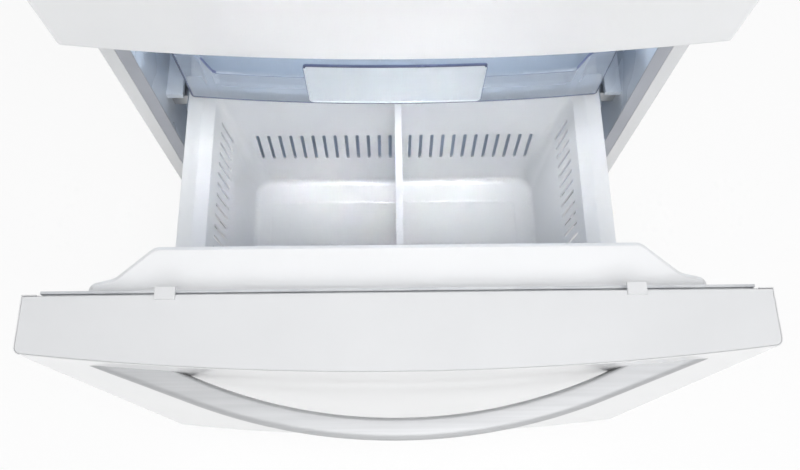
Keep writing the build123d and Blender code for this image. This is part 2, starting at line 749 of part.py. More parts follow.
def freezer_profile(front, gap=0.0):
    """Side view of the freezer's cavity, with an optional gap round it."""
    low, high = FREEZER_FLOOR - SHEET - gap, FREEZER_ROOF + SHEET + gap
    with BuildSketch(Plane.YZ) as profile:
        with BuildLine():
            Polyline(
                (front, low),
                (STEP_Y + gap, low),
                (STEP_Y + gap, STEP_Z - gap),
                (SHELF_Y + gap, SHELF_Z - gap),
                (FREEZER_BACK + gap, SHELF_Z - gap),
                (FREEZER_BACK + gap, high),
                (front, high),
                close=True,
            )
        make_face()
    return profile.sketch_local


OUTER_HALF = LINER_HALF + SHEET
MOUTH_HALF = CASE_HALF - FLANGE - FIT
fridge_cavity_z = (FRIDGE_FLOOR - SHEET, FRIDGE_ROOF + SHEET)
with BuildPart() as case_foam:
    foam_edge = CASE_HALF - SKIN - FIT
    block(
        (-foam_edge, foam_edge),
        (LINER_FACE + SHEET + FIT, BACK_SHEET_Y - FIT),
        (FOAM_BOTTOM, CASE_TOP - SKIN - FIT),
    )
    block(
        (-OUTER_HALF - FIT, OUTER_HALF + FIT),
        (WELL_FRONT, FRIDGE_BACK + SHEET + FIT),
        (fridge_cavity_z[0] - FIT, fridge_cavity_z[1] + FIT),
        Mode.SUBTRACT,
    )
    foam_well = freezer_profile(WELL_FRONT, FIT)
    with BuildSketch(Plane.YZ.offset(-OUTER_HALF - FIT)):
        add(foam_well)
    extrude(amount=2 * (OUTER_HALF + FIT), mode=Mode.SUBTRACT)
    # the compressor's room
    block(
        (-CASE_HALF, CASE_HALF),
        (MACHINE_FRONT, CASE_BACK),
        (0, MACHINE_TOP),
        Mode.SUBTRACT,
    )
    # the folded edges of the steel panels
    fold_y = (WELL_FRONT, CASE_FRONT + 8 + FIT)
    for side in (-1, 1):
        near, far = sorted((side * MOUTH_HALF, side * CASE_HALF))
        block((near, far), fold_y, (0, CASE_TOP), Mode.SUBTRACT)
    block(
        (-CASE_HALF, CASE_HALF),
        fold_y,
        (CASE_TOP - FLANGE - FIT, CASE_TOP),
        Mode.SUBTRACT,
    )

MULLION_Z = (694.5, 794.5)
FREEZER_MOUTH_BOTTOM = 88.0
CRISPER_LEDGE_X, CRISPER_LEDGE_Y, CRISPER_LEDGE_Z = 366.0, (20.0, 540.0), (990.0, 999.0)
TRAY_LEDGE_X, TRAY_LEDGE_Y, TRAY_LEDGE_Z = 349.0, (-66.0, 380.0), (434.0, 444.0)
with BuildPart() as fridge_liner:
    block(
        (-OUTER_HALF, OUTER_HALF),
        (LINER_FACE, FRIDGE_BACK + SHEET),
        fridge_cavity_z,
    )
    block(
        (-MOUTH_HALF, MOUTH_HALF),
        (LINER_FACE, LINER_FACE + SHEET),
        (MULLION_Z[1] + 0.5, CASE_TOP - FLANGE - FIT),
    )
    block(
        (-LINER_HALF, LINER_HALF),
        (WELL_FRONT, FRIDGE_BACK),
        (FRIDGE_FLOOR, FRIDGE_ROOF),
        Mode.SUBTRACT,
    )
    # ledges that carry the crisper cover
    for side in (-1, 1):
        near, far = sorted((side * CRISPER_LEDGE_X, side * LINER_HALF))
        block((near, far), CRISPER_LEDGE_Y, CRISPER_LEDGE_Z)

with BuildPart() as freezer_liner:
    outer_profile = freezer_profile(LINER_FACE + SHEET)
    with BuildSketch(Plane.YZ.offset(-OUTER_HALF)):
        add(outer_profile)
    extrude(amount=2 * OUTER_HALF)
    block(
        (-MOUTH_HALF, MOUTH_HALF),
        (LINER_FACE, LINER_FACE + SHEET),
        (FREEZER_MOUTH_BOTTOM, MULLION_Z[0] - 0.5),
    )
    inner_profile = offset(outer_profile, amount=-SHEET, kind=Kind.INTERSECTION, mode=Mode.PRIVATE)
    with BuildSketch(Plane.YZ.offset(-LINER_HALF)):
        add(inner_profile)
    extrude(amount=2 * LINER_HALF, mode=Mode.SUBTRACT)
    block(
        (-LINER_HALF, LINER_HALF),
        (WELL_FRONT, LINER_FACE + 2 * SHEET + 1),
        (FREEZER_FLOOR, FREEZER_ROOF),
        Mode.SUBTRACT,
    )
    # ledges that the tray's runners slide on
    for side in (-1, 1):
        near, far = sorted((side * TRAY_LEDGE_X, side * LINER_HALF))
        block((near, far), TRAY_LEDGE_Y, TRAY_LEDGE_Z)

with BuildPart() as mullion_rail:
    block((-MOUTH_HALF, MOUTH_HALF), (CASE_FRONT, CASE_FRONT + SKIN), MULLION_Z)
    for low in (MULLION_Z[0], MULLION_Z[1] - SKIN):
        block((-MOUTH_HALF, MOUTH_HALF), (CASE_FRONT, CASE_FRONT + 3.2), (low, low + SKIN))

# ---- chassis under the case ----

LEG_X, LEG_Y = 372.0, -62.0
LEG_STEM, TURNING_FIT = 5.0, 0.08
ROLLER_X, ROLLER_Y, ROLLER_RADIUS = 372.0, 560.0, 16.0
ROLLER_WIDTH = 18.0
AXLE_RADIUS = 4.0
PLATE = 2.0
RAIL_INNER, RAIL_OUTER, RAIL_BACK = 346.0, 416.0, 636.0
WINDOW_HALF_X, WINDOW_HALF_Y = 10.5, 13.0
BUSH_RADIUS, BUSH_HEIGHT = 10.0, 11.0
CHEEKS, CHEEK_HALF, CHEEK_BOTTOM = (-13.0, 11.0), 12.0, 8.0
with BuildPart() as base_frame:
    # front rail closes the case below the drawer's mouth
    block((-MOUTH_HALF, MOUTH_HALF), (CASE_FRONT, CASE_FRONT + PLATE), (CASE_BOTTOM, 87.5))
    for side in (-1, 1):
        near, far = sorted((side * RAIL_INNER, side * RAIL_OUTER))
        block((near, far), (CASE_FRONT + 8.5, RAIL_BACK), (CASE_BOTTOM, CASE_BOTTOM + PLATE))
        # the rail's upright inner web
        near, far = sorted((side * RAIL_INNER, side * (RAIL_INNER + PLATE)))
        block((near, far), (CASE_FRONT + PLATE, RAIL_BACK), (CASE_BOTTOM, FOAM_BOTTOM - FIT))
        near, far = sorted((side * RAIL_INNER, side * MOUTH_HALF))
        block((near, far), (CASE_FRONT + PLATE, CASE_FRONT + 9), (CASE_BOTTOM, CASE_BOTTOM + PLATE))
        # threaded hexagonal bush for the levelling leg
        with BuildSketch(Plane.XY.offset(CASE_BOTTOM)):
            with Locations((side * LEG_X, LEG_Y)):
                RegularPolygon(BUSH_RADIUS, 6)
        extrude(amount=BUSH_HEIGHT)
        # cheeks and axle of the rear roller
        for cheek in CHEEKS:
            x = side * ROLLER_X + cheek
            block(
                (x, x + PLATE),
                (ROLLER_Y - CHEEK_HALF, ROLLER_Y + CHEEK_HALF),
                (CHEEK_BOTTOM, CASE_BOTTOM),
            )
        with Locations((side * ROLLER_X, ROLLER_Y, ROLLER_RADIUS)):
            Cylinder(AXLE_RADIUS, 2 * CHEEKS[1], rotation=(0, 90, 0))
        # the roller reaches up through a window in the rail
        block(
            (side * ROLLER_X - WINDOW_HALF_X, side * ROLLER_X + WINDOW_HALF_X),
            (ROLLER_Y - WINDOW_HALF_Y, ROLLER_Y + WINDOW_HALF_Y),
            (CASE_BOTTOM - 1, CASE_BOTTOM + PLATE + 1),
            Mode.SUBTRACT,
        )
        with Locations((side * LEG_X, LEG_Y, CASE_BOTTOM + BUSH_HEIGHT / 2)):
            Cylinder(LEG_STEM + TURNING_FIT, 2 * BUSH_HEIGHT, mode=Mode.SUBTRACT)
    # sheet that closes the foam from below
    block(
        (-RAIL_INNER - 1, RAIL_INNER + 1),
        (CASE_FRONT + PLATE, MACHINE_FRONT + 3),
        (FOAM_BOTTOM - FIT - SKIN, FOAM_BOTTOM - FIT),
    )
    # pan under the compressor
    block(
        (-RAIL_INNER - 1, RAIL_INNER + 1),
        (MACHINE_FRONT + 2, RAIL_BACK),
        (CASE_BOTTOM, CASE_BOTTOM + PLATE),
    )
    block(
        (-RAIL_INNER - 1, RAIL_INNER + 1),
        (MACHINE_FRONT + 2, MACHINE_FRONT + 2 + PLATE),
        (CASE_BOTTOM, CASE_BOTTOM + 20),
    )


def leveling_leg(side):
    """Screwed leg whose foot has twelve flats to turn it by."""
    foot_radius, foot_height, foot_flats = 17.0, 13.0, 12
    top = 40.0
    with BuildPart() as leg:
        with BuildSketch():
            with Locations((side * LEG_X, LEG_Y)):
                RegularPolygon(foot_radius, foot_flats)
        extrude(amount=foot_height)
        chamfer(leg.faces().sort_by(Axis.Z)[-1].edges(), 4)
        with BuildSketch():
            with Locations((side * LEG_X, LEG_Y)):
                Circle(LEG_STEM)
        extrude(amount=top)
    return leg


def rear_roller(side):
    """Plain wheel that turns on the chassis' fixed axle."""
    with BuildPart() as roller:
        with BuildSketch(Plane.YZ.offset(side * ROLLER_X - ROLLER_WIDTH / 2)):
            with Locations((ROLLER_Y, ROLLER_RADIUS)):
                Circle(ROLLER_RADIUS)
                Circle(AXLE_RADIUS + TURNING_FIT, mode=Mode.SUBTRACT)
        extrude(amount=ROLLER_WIDTH)
    return roller


leveling_leg_left = leveling_leg(-1)
leveling_leg_right = leveling_leg(1)
roller_left = rear_roller(-1)
roller_right = rear_roller(1)

GRILLE_HALF, GRILLE_Y, GRILLE_Z = 396.0, (-141.0, -133.0), (9.0, 35.0)
GRILLE_SLOTS, GRILLE_PITCH, GRILLE_SLOT = 20, 36.0, 28.0
with BuildPart() as toe_grille:
    block((-GRILLE_HALF, GRILLE_HALF), GRILLE_Y, GRILLE_Z)
    # the ends turn back to the case
    for side in (-1, 1):
        near, far = sorted((side * (GRILLE_HALF - 8), side * GRILLE_HALF))
        block((near, far), (GRILLE_Y[0] + 5, CASE_FRONT), GRILLE_Z)
    for index in range(GRILLE_SLOTS):
        x = GRILLE_PITCH * (index - (GRILLE_SLOTS - 1) / 2)
        block(
            (x - GRILLE_SLOT / 2, x + GRILLE_SLOT / 2),
            (GRILLE_Y[0] - 9, GRILLE_Y[1] + 3),
            (GRILLE_Z[0] + 6, GRILLE_Z[1] - 6),
            Mode.SUBTRACT,
        )

# ---- cooling machinery ----

COMPRESSOR_X, COMPRESSOR_Y = 190.0, 512.0
LOWER_CAN, UPPER_CAN = 75.0, 79.0
CAN_BOTTOM, WELD_Z, CAN_TOP = 56.0, 128.0, 192.0
FOOT_PLATE, FOOT_PLATE_CORNER, FOOT_PLATE_Z = (200.0, 130.0), 12.0, 52.0
MOUNT_SPREAD, MOUNT_RADIUS = (170.0, 100.0), 11.0
with BuildPart() as compressor:
    # the can is two welded shells, and the upper one laps over the lower one
    for radius, bottom, top in ((LOWER_CAN, CAN_BOTTOM, WELD_Z), (UPPER_CAN, WELD_Z, CAN_TOP)):
        with BuildSketch(Plane.XY.offset(bottom)):
            with Locations((COMPRESSOR_X, COMPRESSOR_Y)):
                Circle(radius)
        extrude(amount=top - bottom)
    # foot plate on four rubber mounts
    with BuildSketch(Plane.XY.offset(FOOT_PLATE_Z)) as foot_plate:
        with Locations((COMPRESSOR_X, COMPRESSOR_Y)):
            Rectangle(*FOOT_PLATE)
        chamfer(foot_plate.vertices(), FOOT_PLATE_CORNER)
    extrude(amount=6)
    with BuildSketch(Plane.XY.offset(CASE_BOTTOM + PLATE)):
        with Locations((COMPRESSOR_X, COMPRESSOR_Y)):
            with GridLocations(*MOUNT_SPREAD, 2, 2):
                RegularPolygon(MOUNT_RADIUS, 8)
    extrude(amount=FOOT_PLATE_Z + 2 - CASE_BOTTOM - PLATE)
    # terminal box on its side
    block(
        (COMPRESSOR_X + 55, COMPRESSOR_X + 104),
        (COMPRESSOR_Y - 26, COMPRESSOR_Y + 26),
        (84, 146),
    )


def finned_coil(x_span, y_span, z_span, fins, tube_rows):
    """Finned block: rows of tube run through upright fins, and bends join them in turn."""
    fin, tube, bend_reach = 1.5, 8.0, 14.0
    pitch = (x_span[1] - x_span[0] - fin) / (fins - 1)
    row_pitch = (z_span[1] - z_span[0]) / tube_rows
    middle_y = (y_span[0] + y_span[1]) / 2
    tube_y = (middle_y - tube / 2, middle_y + tube / 2)
    with BuildPart() as coil:
        for index in range(fins):
            x = x_span[0] + pitch * index
            block((x, x + fin), y_span, z_span)
        for row in range(tube_rows):
            z = z_span[0] + (row + 0.5) * row_pitch
            block(
                (x_span[0] - bend_reach, x_span[1] + bend_reach),
                tube_y,
                (z - tube / 2, z + tube / 2),
            )
            if row < tube_rows - 1:
                x = x_span[1] + bend_reach - tube if row % 2 == 0 else x_span[0] - bend_reach
                block((x, x + tube), tube_y, (z, z + row_pitch))
    return coil


FAN_SHAFT = 2.5


def fan_mount(plane, radius, plate=None):
    """Motor on a cross bar that two posts hold clear of the blades, with an optional shroud.

    The plane's origin is the middle of the blades, and its z axis runs towards the motor.
    """
    post_start, bar_start, bar_end = -28.0, 24.0, 30.0
    motor_radius, motor_start, shaft_start = 15.0, 11.0, -6.0
    post, rib = 6.0, 10.0
    with BuildPart() as mount:
        if plate:
            with BuildSketch(plane.offset(post_start - PLATE)):
                Rectangle(*plate)
                RegularPolygon(radius + 4, 24, mode=Mode.SUBTRACT)
            extrude(amount=PLATE)
        for side in (-1, 1):
            with BuildSketch(plane.offset(post_start)):
                with Locations((side * (radius + 10), 0)):
                    Rectangle(post, rib)
            extrude(amount=bar_end - post_start)
        with BuildSketch(plane.offset(bar_start)):
            Rectangle(2 * (radius + 10) + post, rib)
        extrude(amount=bar_end - bar_start)
        with BuildSketch(plane.offset(motor_start)):
            Rectangle(2 * motor_radius, 2 * motor_radius)
        extrude(amount=bar_end - motor_start)
        with BuildSketch(plane.offset(shaft_start)):
            Circle(FAN_SHAFT)
        extrude(amount=motor_start - shaft_start)
    return mount


def fan(plane, radius):
    """Four pitched blades on a bored hub with twelve flats."""
    hub_share, hub_half, blade_sheet, pitch_angle = 0.28, 9.0, 1.6, 28.0
    with BuildPart() as rotor:
        with BuildSketch(plane.offset(-hub_half)):
            RegularPolygon(radius * hub_share, 12)
        extrude(amount=2 * hub_half)
        for index in range(4):
            spoke = Rot(0, 0, 90 * index) * Pos(radius * 0.6, 0, 0)
            with Locations(plane * spoke * Rot(pitch_angle, 0, 0)):
                Box(radius * 0.8, radius * 0.5, blade_sheet)
        with Locations(plane):
            Cylinder(FAN_SHAFT + TURNING_FIT, 40, mode=Mode.SUBTRACT)
    return rotor


CONDENSER_FAN_RADIUS, EVAPORATOR_FAN_RADIUS = 55.0, 38.0
condenser_fan_plane = Plane(origin=(-140, 500, 135), x_dir=(0, 1, 0), z_dir=(1, 0, 0))
evaporator_fan_plane = Plane(origin=(0, 479, 636), x_dir=(1, 0, 0), z_dir=(0, 1, 0))
condenser_fan = fan(condenser_fan_plane, CONDENSER_FAN_RADIUS)
evaporator_fan = fan(evaporator_fan_plane, EVAPORATOR_FAN_RADIUS)

coil_block = finned_coil((-330, -190), (440, 560), (60, 200), fins=8, tube_rows=2)
shroud = fan_mount(condenser_fan_plane, CONDENSER_FAN_RADIUS, (150, 176))
with BuildPart() as condenser:
    add(coil_block.part)
    add(shroud.part)
    # feet on the chassis, and a strap that ties the coil to the fan's shroud
    for x in (-310, -210):
        block((x - 6, x + 6), (470, 530), (CASE_BOTTOM + PLATE, 62))
    block((-200, -168), (496, 504), (56, 62))
    block((-170, -168), (440, 560), (CASE_BOTTOM + PLATE, 52))

COVER_Y, COVER_SHEET, COVER_BOTTOM = 449.0, 3.0, 404.0
FAN_SLOT, FAN_SLOT_PITCH = 7.0, 14.0
RETURN_SLOTS, RETURN_PITCH, RETURN_HALF, RETURN_Z = 8, 60.0, 22.0, (412.0, 420.0)
LINER_BACK = FREEZER_BACK - SHEET
COIL_HALF = 230.0
evaporator_coil = finned_coil((-COIL_HALF, COIL_HALF), (462, 512), (430, 580), fins=8, tube_rows=2)
with BuildPart() as evaporator:
    add(evaporator_coil.part)
    # two rails hold the coil off the liner's back wall
    for low in (440, 562):
        block((-COIL_HALF, COIL_HALF), (510, LINER_BACK - FIT), (low, low + 8))
fan_posts = fan_mount(evaporator_fan_plane, EVAPORATOR_FAN_RADIUS)
with BuildPart() as evaporator_cover:
    add(fan_posts.part)
    cover_y = (COVER_Y, COVER_Y + COVER_SHEET)
    cutter_y = (COVER_Y - 5, COVER_Y + COVER_SHEET + 5)
    block((FIT - LINER_HALF, LINER_HALF - FIT), cover_y, (COVER_BOTTOM, FREEZER_ROOF - FIT))
    # the fan blows through a round of level slots
    for row in range(-2, 3):
        level = FAN_SLOT_PITCH * row
        chord = math.sqrt(EVAPORATOR_FAN_RADIUS**2 - level**2)
        z = evaporator_fan_plane.origin.Z + level
        block((-chord, chord), cutter_y, (z - FAN_SLOT / 2, z + FAN_SLOT / 2), Mode.SUBTRACT)
    # return air goes in low down
    for index in range(RETURN_SLOTS):
        x = RETURN_PITCH * (index - (RETURN_SLOTS - 1) / 2)
        block((x - RETURN_HALF, x + RETURN_HALF), cutter_y, RETURN_Z, Mode.SUBTRACT)

# ---- fresh food compartment ----

DUCT_HALF, DUCT_FRONT, DUCT_Z = 105.0, 556.0, (1040.0, 1640.0)
DUCT_ROWS, DUCT_ROW_FIRST, DUCT_ROW_PITCH = 5, 1090.0, 120.0
with BuildPart() as air_duct:
    block((-DUCT_HALF, DUCT_HALF), (DUCT_FRONT, FRIDGE_BACK - FIT), DUCT_Z)
    chamfer(air_duct.edges().filter_by(Axis.Z).group_by(Axis.Y)[0], 10.0)
    for row in range(DUCT_ROWS):
        z = DUCT_ROW_FIRST + DUCT_ROW_PITCH * row
        for side in (-1, 1):
            near, far = sorted((side * 45, side * 90))
            block((near, far), (DUCT_FRONT - 6, DUCT_FRONT + 4), (z, z + 10), Mode.SUBTRACT)

TRACK_X, TRACK_Y, TRACK_HALF, TRACK_Z = 248.0, 567.0, 8.0, (1060.0, 1630.0)
TRACK_SLOTS, TRACK_PITCH, TRACK_FIRST = 10, 54.0, 1103.0
TRACK_SLOT_HALF, TRACK_SLOT_HEIGHT = 2.6, 16.0
with BuildPart() as shelf_tracks:
    for side in (-1, 1):
        x = side * TRACK_X
        block((x - TRACK_HALF, x + TRACK_HALF), (TRACK_Y, FRIDGE_BACK - FIT), TRACK_Z)
        for index in range(TRACK_SLOTS):
            z = TRACK_FIRST + TRACK_PITCH * index
            block(
                (x - TRACK_SLOT_HALF, x + TRACK_SLOT_HALF),
                (TRACK_Y - 7, FRIDGE_BACK + 6),
                (z - TRACK_SLOT_HEIGHT / 2, z + TRACK_SLOT_HEIGHT / 2),
                Mode.SUBTRACT,
            )

with BuildPart() as interior_lamp:
    block((-90, 90), (50, 120), (FRIDGE_ROOF - 12, FRIDGE_ROOF - FIT))
    chamfer(interior_lamp.edges().group_by(Axis.Z)[0], 6.0)

SHELF_FRONT, SHELF_REAR = 26.0, 550.0
SHELF_THICK = 15.0
GLASS = 4.0


def glass_frame(half, low):
    """Moulded rim with a rebate that a glass pane drops into."""
    rebate = low + SHELF_THICK - GLASS - 1
    with BuildPart() as frame:
        block((-half, half), (SHELF_FRONT, SHELF_REAR), (low, low + SHELF_THICK))
        front_edges = frame.edges().filter_by(Axis.X).group_by(Axis.Y)[0]
        chamfer(front_edges, 4.0)
        block(
            (-half + 24, half - 24),
            (SHELF_FRONT + 30, SHELF_REAR - 20),
            (low - 1, low + SHELF_THICK + 1),
            Mode.SUBTRACT,
        )
        block(
            (-half + 12, half - 12),
            (SHELF_FRONT + 14, SHELF_REAR - 8),
            (rebate, low + SHELF_THICK + 1),
            Mode.SUBTRACT,
        )
    return frame


def glass_pane(half, low):
    """Pane that lies in the frame's rebate."""
    rebate = low + SHELF_THICK - GLASS - 1
    with BuildPart() as pane:
        block(
            (-half + 12 + FIT, half - 12 - FIT),
            (SHELF_FRONT + 14 + FIT, SHELF_REAR - 8 - FIT),
            (rebate, rebate + GLASS),
        )
    return pane


# both shelves stand a whole number of track slots up
SHELF_MIDDLE_Z = TRACK_FIRST + TRACK_PITCH + 33
SHELF_TOP_Z = SHELF_MIDDLE_Z + 4 * TRACK_PITCH
HOOK_DROP = 40.0


def cantilever_shelf(low):
    """Glass frame on two steel arms that hook into the wall tracks."""
    frame = glass_frame(364, low)
    with BuildPart() as shelf:
        add(frame.part)
        for side in (-1, 1):
            with BuildSketch(Plane.YZ.offset(side * TRACK_X - 2)):
                with BuildLine():
                    Polyline(
                        (60, low),
                        (60, low - 8),
                        (TRACK_Y, low - 46),
                        (TRACK_Y, low - HOOK_DROP),
                        (TRACK_Y + 5, low - HOOK_DROP),
                        (TRACK_Y + 5, low - HOOK_DROP + 14),
                        (TRACK_Y, low - HOOK_DROP + 14),
                        (TRACK_Y, low + 9),
                        (SHELF_REAR - 30, low + 9),
                        (SHELF_REAR - 30, low),
                        close=True,
                    )
                make_face()
            extrude(amount=4)
    return shelf


shelf_frame_top = cantilever_shelf(SHELF_TOP_Z)
shelf_frame_middle = cantilever_shelf(SHELF_MIDDLE_Z)
shelf_glass_top = glass_pane(364, SHELF_TOP_Z)
shelf_glass_middle = glass_pane(364, SHELF_MIDDLE_Z)

CRISPER_COVER_Z = 999.3
KNOB_X = 178.0
RUNNER_LOW, RUNNER_HIGH = 975.6, 978.6
crisper_frame = glass_frame(374, CRISPER_COVER_Z)
crisper_glass = glass_pane(374, CRISPER_COVER_Z)
with BuildPart() as crisper_cover:
    add(crisper_frame.part)
    # rails that the two drawers hang on: one in the middle and one at each side
    block((-1.5, 1.5), (34, 520), (RUNNER_LOW, CRISPER_COVER_Z + 4))
    block((-14, 14), (34, 520), (RUNNER_LOW, RUNNER_HIGH))
    for side in (-1, 1):
        near, far = sorted((side * 352, side * 355))
        block((near, far), (34, 520), (RUNNER_LOW, CRISPER_COVER_Z + 4))
        near, far = sorted((side * 342, side * 355))
        block((near, far), (34, 520), (RUNNER_LOW, RUNNER_HIGH))
        # slot that the humidity slider runs in
        block(
            (side * KNOB_X - 33, side * KNOB_X + 33),
            (SHELF_FRONT - 1, SHELF_FRONT + 5),
            (CRISPER_COVER_Z + 5, CRISPER_COVER_Z + 9),
            Mode.SUBTRACT,
        )


def humidity_slider(side):
    """Knob with a tongue in the cover's slot."""
    x = side * KNOB_X
    knob_z = (CRISPER_COVER_Z + 2, CRISPER_COVER_Z + 12)
    tongue_z = (CRISPER_COVER_Z + 5.4, CRISPER_COVER_Z + 8.6)
    with BuildPart() as knob:
        block((x - 13, x + 13), (18, SHELF_FRONT - FIT), knob_z)
        chamfer(knob.edges().group_by(Axis.Y)[0], 2.0)
        block((x - 6, x + 6), (SHELF_FRONT - 1, SHELF_FRONT + 4), tongue_z)
    return knob


humidity_slider_left = humidity_slider(-1)
humidity_slider_right = humidity_slider(1)


def crisper(side):
    """Clear drawer with a flanged rim and a taller front that is pulled by its top lip."""
    inner, outer = 16.0, 340.0
    with BuildPart() as tub:
        near, far = sorted((side * inner, side * outer))
        block((near, far), (26, 500), (806, 982))
        fillet(tub.edges().filter_by(Axis.Z).group_by(Axis.Y)[-1], 24.0)
        offset(
            amount=-2.5,
            openings=tub.faces().sort_by(Axis.Z)[-1],
            kind=Kind.INTERSECTION,
        )
        # flanges that hang on the cover's rails
        for low, high in ((8.0, 17.0), (339.0, 348.0)):
            near, far = sorted((side * low, side * high))
            block((near, far), (29, 480), (979, 982))
        near, far = sorted((side * 8, side * 348))
        block((near, far), (20, 27), (806, 992))
        # finger pull along the top of the front
        block((near, far), (12, 21), (986, 992))
        chamfer(tub.edges().filter_by(Axis.X).group_by(Axis.Y)[0], 2.5)
    return tub


crisper_left = crisper(-1)
crisper_right = crisper(1)

# ---- hinges of the upper door ----

with BuildPart() as top_hinge:
    with BuildSketch(Plane.XY.offset(CASE_TOP + FIT)):
        with BuildLine():
            Polyline(
                (338, -28),
                (410, -28),
                (413.5, -90),
                (413.5, HINGE_Y - 4),
                (HINGE_X, HINGE_Y - 10),
                (396, HINGE_Y - 6),
                (388, -96),
                (338, -84),
                close=True,
            )
        make_face()
    extrude(amount=3)
    with Locations((HINGE_X, HINGE_Y, CASE_TOP - 6)):
        Cylinder(HINGE_PIN, 18)

with BuildPart() as hinge_cover:
    block((326, 417.5), (-162, -14), (CASE_TOP + FIT, CASE_TOP + 24))
    cover_top = hinge_cover.faces().sort_by(Axis.Z)[-1].edges()
    fillet(cover_top, 7.0)
    block((328.5, 415), (-159.5, -16.5), (CASE_TOP - 1, CASE_TOP + 21.5), Mode.SUBTRACT)

with BuildPart() as centre_hinge:
    block((352, 412), (CASE_FRONT - 2, CASE_FRONT), (726, 756))
    with BuildSketch(Plane.XY.offset(739)):
        with BuildLine():
            Polyline(
                (386, CASE_FRONT - 1),
                (412, CASE_FRONT - 1),
                (413.5, HINGE_Y - 4),
                (HINGE_X, HINGE_Y - 10),
                (398, HINGE_Y - 6),
                close=True,
            )
        make_face()
    extrude(amount=4)
    with Locations((HINGE_X, HINGE_Y, 751)):
        Cylinder(HINGE_PIN, 19)

# ---- files, one for each piece ----

pieces = {
    "side_panel_left": side_panel_left,
    "side_panel_right": side_panel_right,
    "top_panel": top_panel,
    "back_panel": back_panel,
    "machine_cover": machine_cover,
    "cord_gland": cord_gland,
    "case_foam": case_foam,
    "fridge_liner": fridge_liner,
    "freezer_liner": freezer_liner,
    "mullion_rail": mullion_rail,
    "base_frame": base_frame,
    "toe_grille": toe_grille,
    "leveling_leg_left": leveling_leg_left,
    "leveling_leg_right": leveling_leg_right,
    "roller_left": roller_left,
    "roller_right": roller_right,
    "compressor": compressor,
    "condenser": condenser,
    "condenser_fan": condenser_fan,
    "evaporator": evaporator,
    "evaporator_cover": evaporator_cover,
    "evaporator_fan": evaporator_fan,
    "air_duct": air_duct,
    "interior_lamp": interior_lamp,
    "shelf_tracks": shelf_tracks,
    "shelf_frame_top": shelf_frame_top,
    "shelf_glass_top": shelf_glass_top,
    "shelf_frame_middle": shelf_frame_middle,
    "shelf_glass_middle": shelf_glass_middle,
    "crisper_cover": crisper_cover,
    "crisper_glass": crisper_glass,
    "crisper_left": crisper_left,
    "crisper_right": crisper_right,
    "humidity_slider_left": humidity_slider_left,
    "humidity_slider_right": humidity_slider_right,
    "top_hinge": top_hinge,
    "hinge_cover": hinge_cover,
    "centre_hinge": centre_hinge,
    "slide_outer": slide_outer,
    "slide_middle": slide_middle,
    "slide_inner": slide_inner,
    "drawer_skin": drawer_skin,
    "drawer_foam": drawer_foam,
    "drawer_end_caps": drawer_end_caps,
    "drawer_liner": drawer_liner,
    "drawer_gasket": drawer_gasket,
    "drawer_handle": drawer_handle,
    "freezer_basket": freezer_basket,
    "basket_divider": basket_divider,
    "freezer_tray": freezer_tray,
    "door_skin": door_skin_piece,
    "door_foam": door_foam_piece,
    "door_end_caps": door_end_caps,
    "door_liner": door_liner,
    "door_gasket": door_gasket,
    "door_handle": door_handle,
    "door_bin_low": door_bin_low,
    "door_bin_middle": door_bin_middle,
    "door_bin_high": door_bin_high,
}
for name, piece in pieces.items():
    write_piece(piece, name)
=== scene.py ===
import json
import math

import bmesh
import bpy
from mathutils import Matrix, Vector


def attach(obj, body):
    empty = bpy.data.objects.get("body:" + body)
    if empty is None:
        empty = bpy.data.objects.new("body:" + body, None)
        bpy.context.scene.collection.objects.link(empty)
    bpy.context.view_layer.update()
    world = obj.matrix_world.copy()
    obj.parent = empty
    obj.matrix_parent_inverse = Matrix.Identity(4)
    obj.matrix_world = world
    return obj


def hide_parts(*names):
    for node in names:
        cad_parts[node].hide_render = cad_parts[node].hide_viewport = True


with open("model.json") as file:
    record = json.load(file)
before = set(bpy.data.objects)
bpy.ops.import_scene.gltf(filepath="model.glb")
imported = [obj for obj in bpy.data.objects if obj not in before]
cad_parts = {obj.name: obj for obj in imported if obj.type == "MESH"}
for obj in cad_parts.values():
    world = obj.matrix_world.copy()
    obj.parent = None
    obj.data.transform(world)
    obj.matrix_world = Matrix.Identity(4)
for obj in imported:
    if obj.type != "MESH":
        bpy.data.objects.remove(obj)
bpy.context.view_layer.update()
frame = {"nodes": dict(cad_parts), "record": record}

NODES = frame["nodes"]
MM = 0.001

# ---- camera: the photograph's viewpoint, found by fitting the drawer's corners ----

PICTURE_WIDTH = 800
SENSOR = 36.0
FOCAL_PIXELS = 772.92
CAMERA_PLACE = Vector((-0.01105, -0.7178, 1.5650))
YAW, PITCH, ROLL = (math.radians(angle) for angle in (2.307, 70.2, 1.628))


def add_camera():
    """Camera above the drawn-out drawer, looking steeply down."""
    data = bpy.data.cameras.new("camera")
    data.sensor_width = SENSOR
    data.lens = FOCAL_PIXELS * SENSOR / PICTURE_WIDTH
    camera = bpy.data.objects.new("camera", data)
    bpy.context.scene.collection.objects.link(camera)
    ahead = math.cos(PITCH)
    forward = Vector((math.sin(YAW) * ahead, math.cos(YAW) * ahead, -math.sin(PITCH)))
    level = Vector((math.cos(YAW), -math.sin(YAW), 0))
    above = level.cross(forward)
    right = math.cos(ROLL) * level + math.sin(ROLL) * above
    up = -math.sin(ROLL) * level + math.cos(ROLL) * above
    turn = Matrix((right, up, -forward)).transposed()
    camera.matrix_world = Matrix.Translation(CAMERA_PLACE) @ turn.to_4x4()
    bpy.context.scene.camera = camera


# ---- materials ----

EVEN = (1, 1, 1)
# where the noise turns from the dark tone to the light one
TONE_SPAN = (0.35, 0.65)
# how fine the noise is behind the tone, the gloss and the relief
TONE_DETAIL, GLOSS_DETAIL, RELIEF_DETAIL = 4.0, 1.0, 2.0
BEVEL_SAMPLES = 4


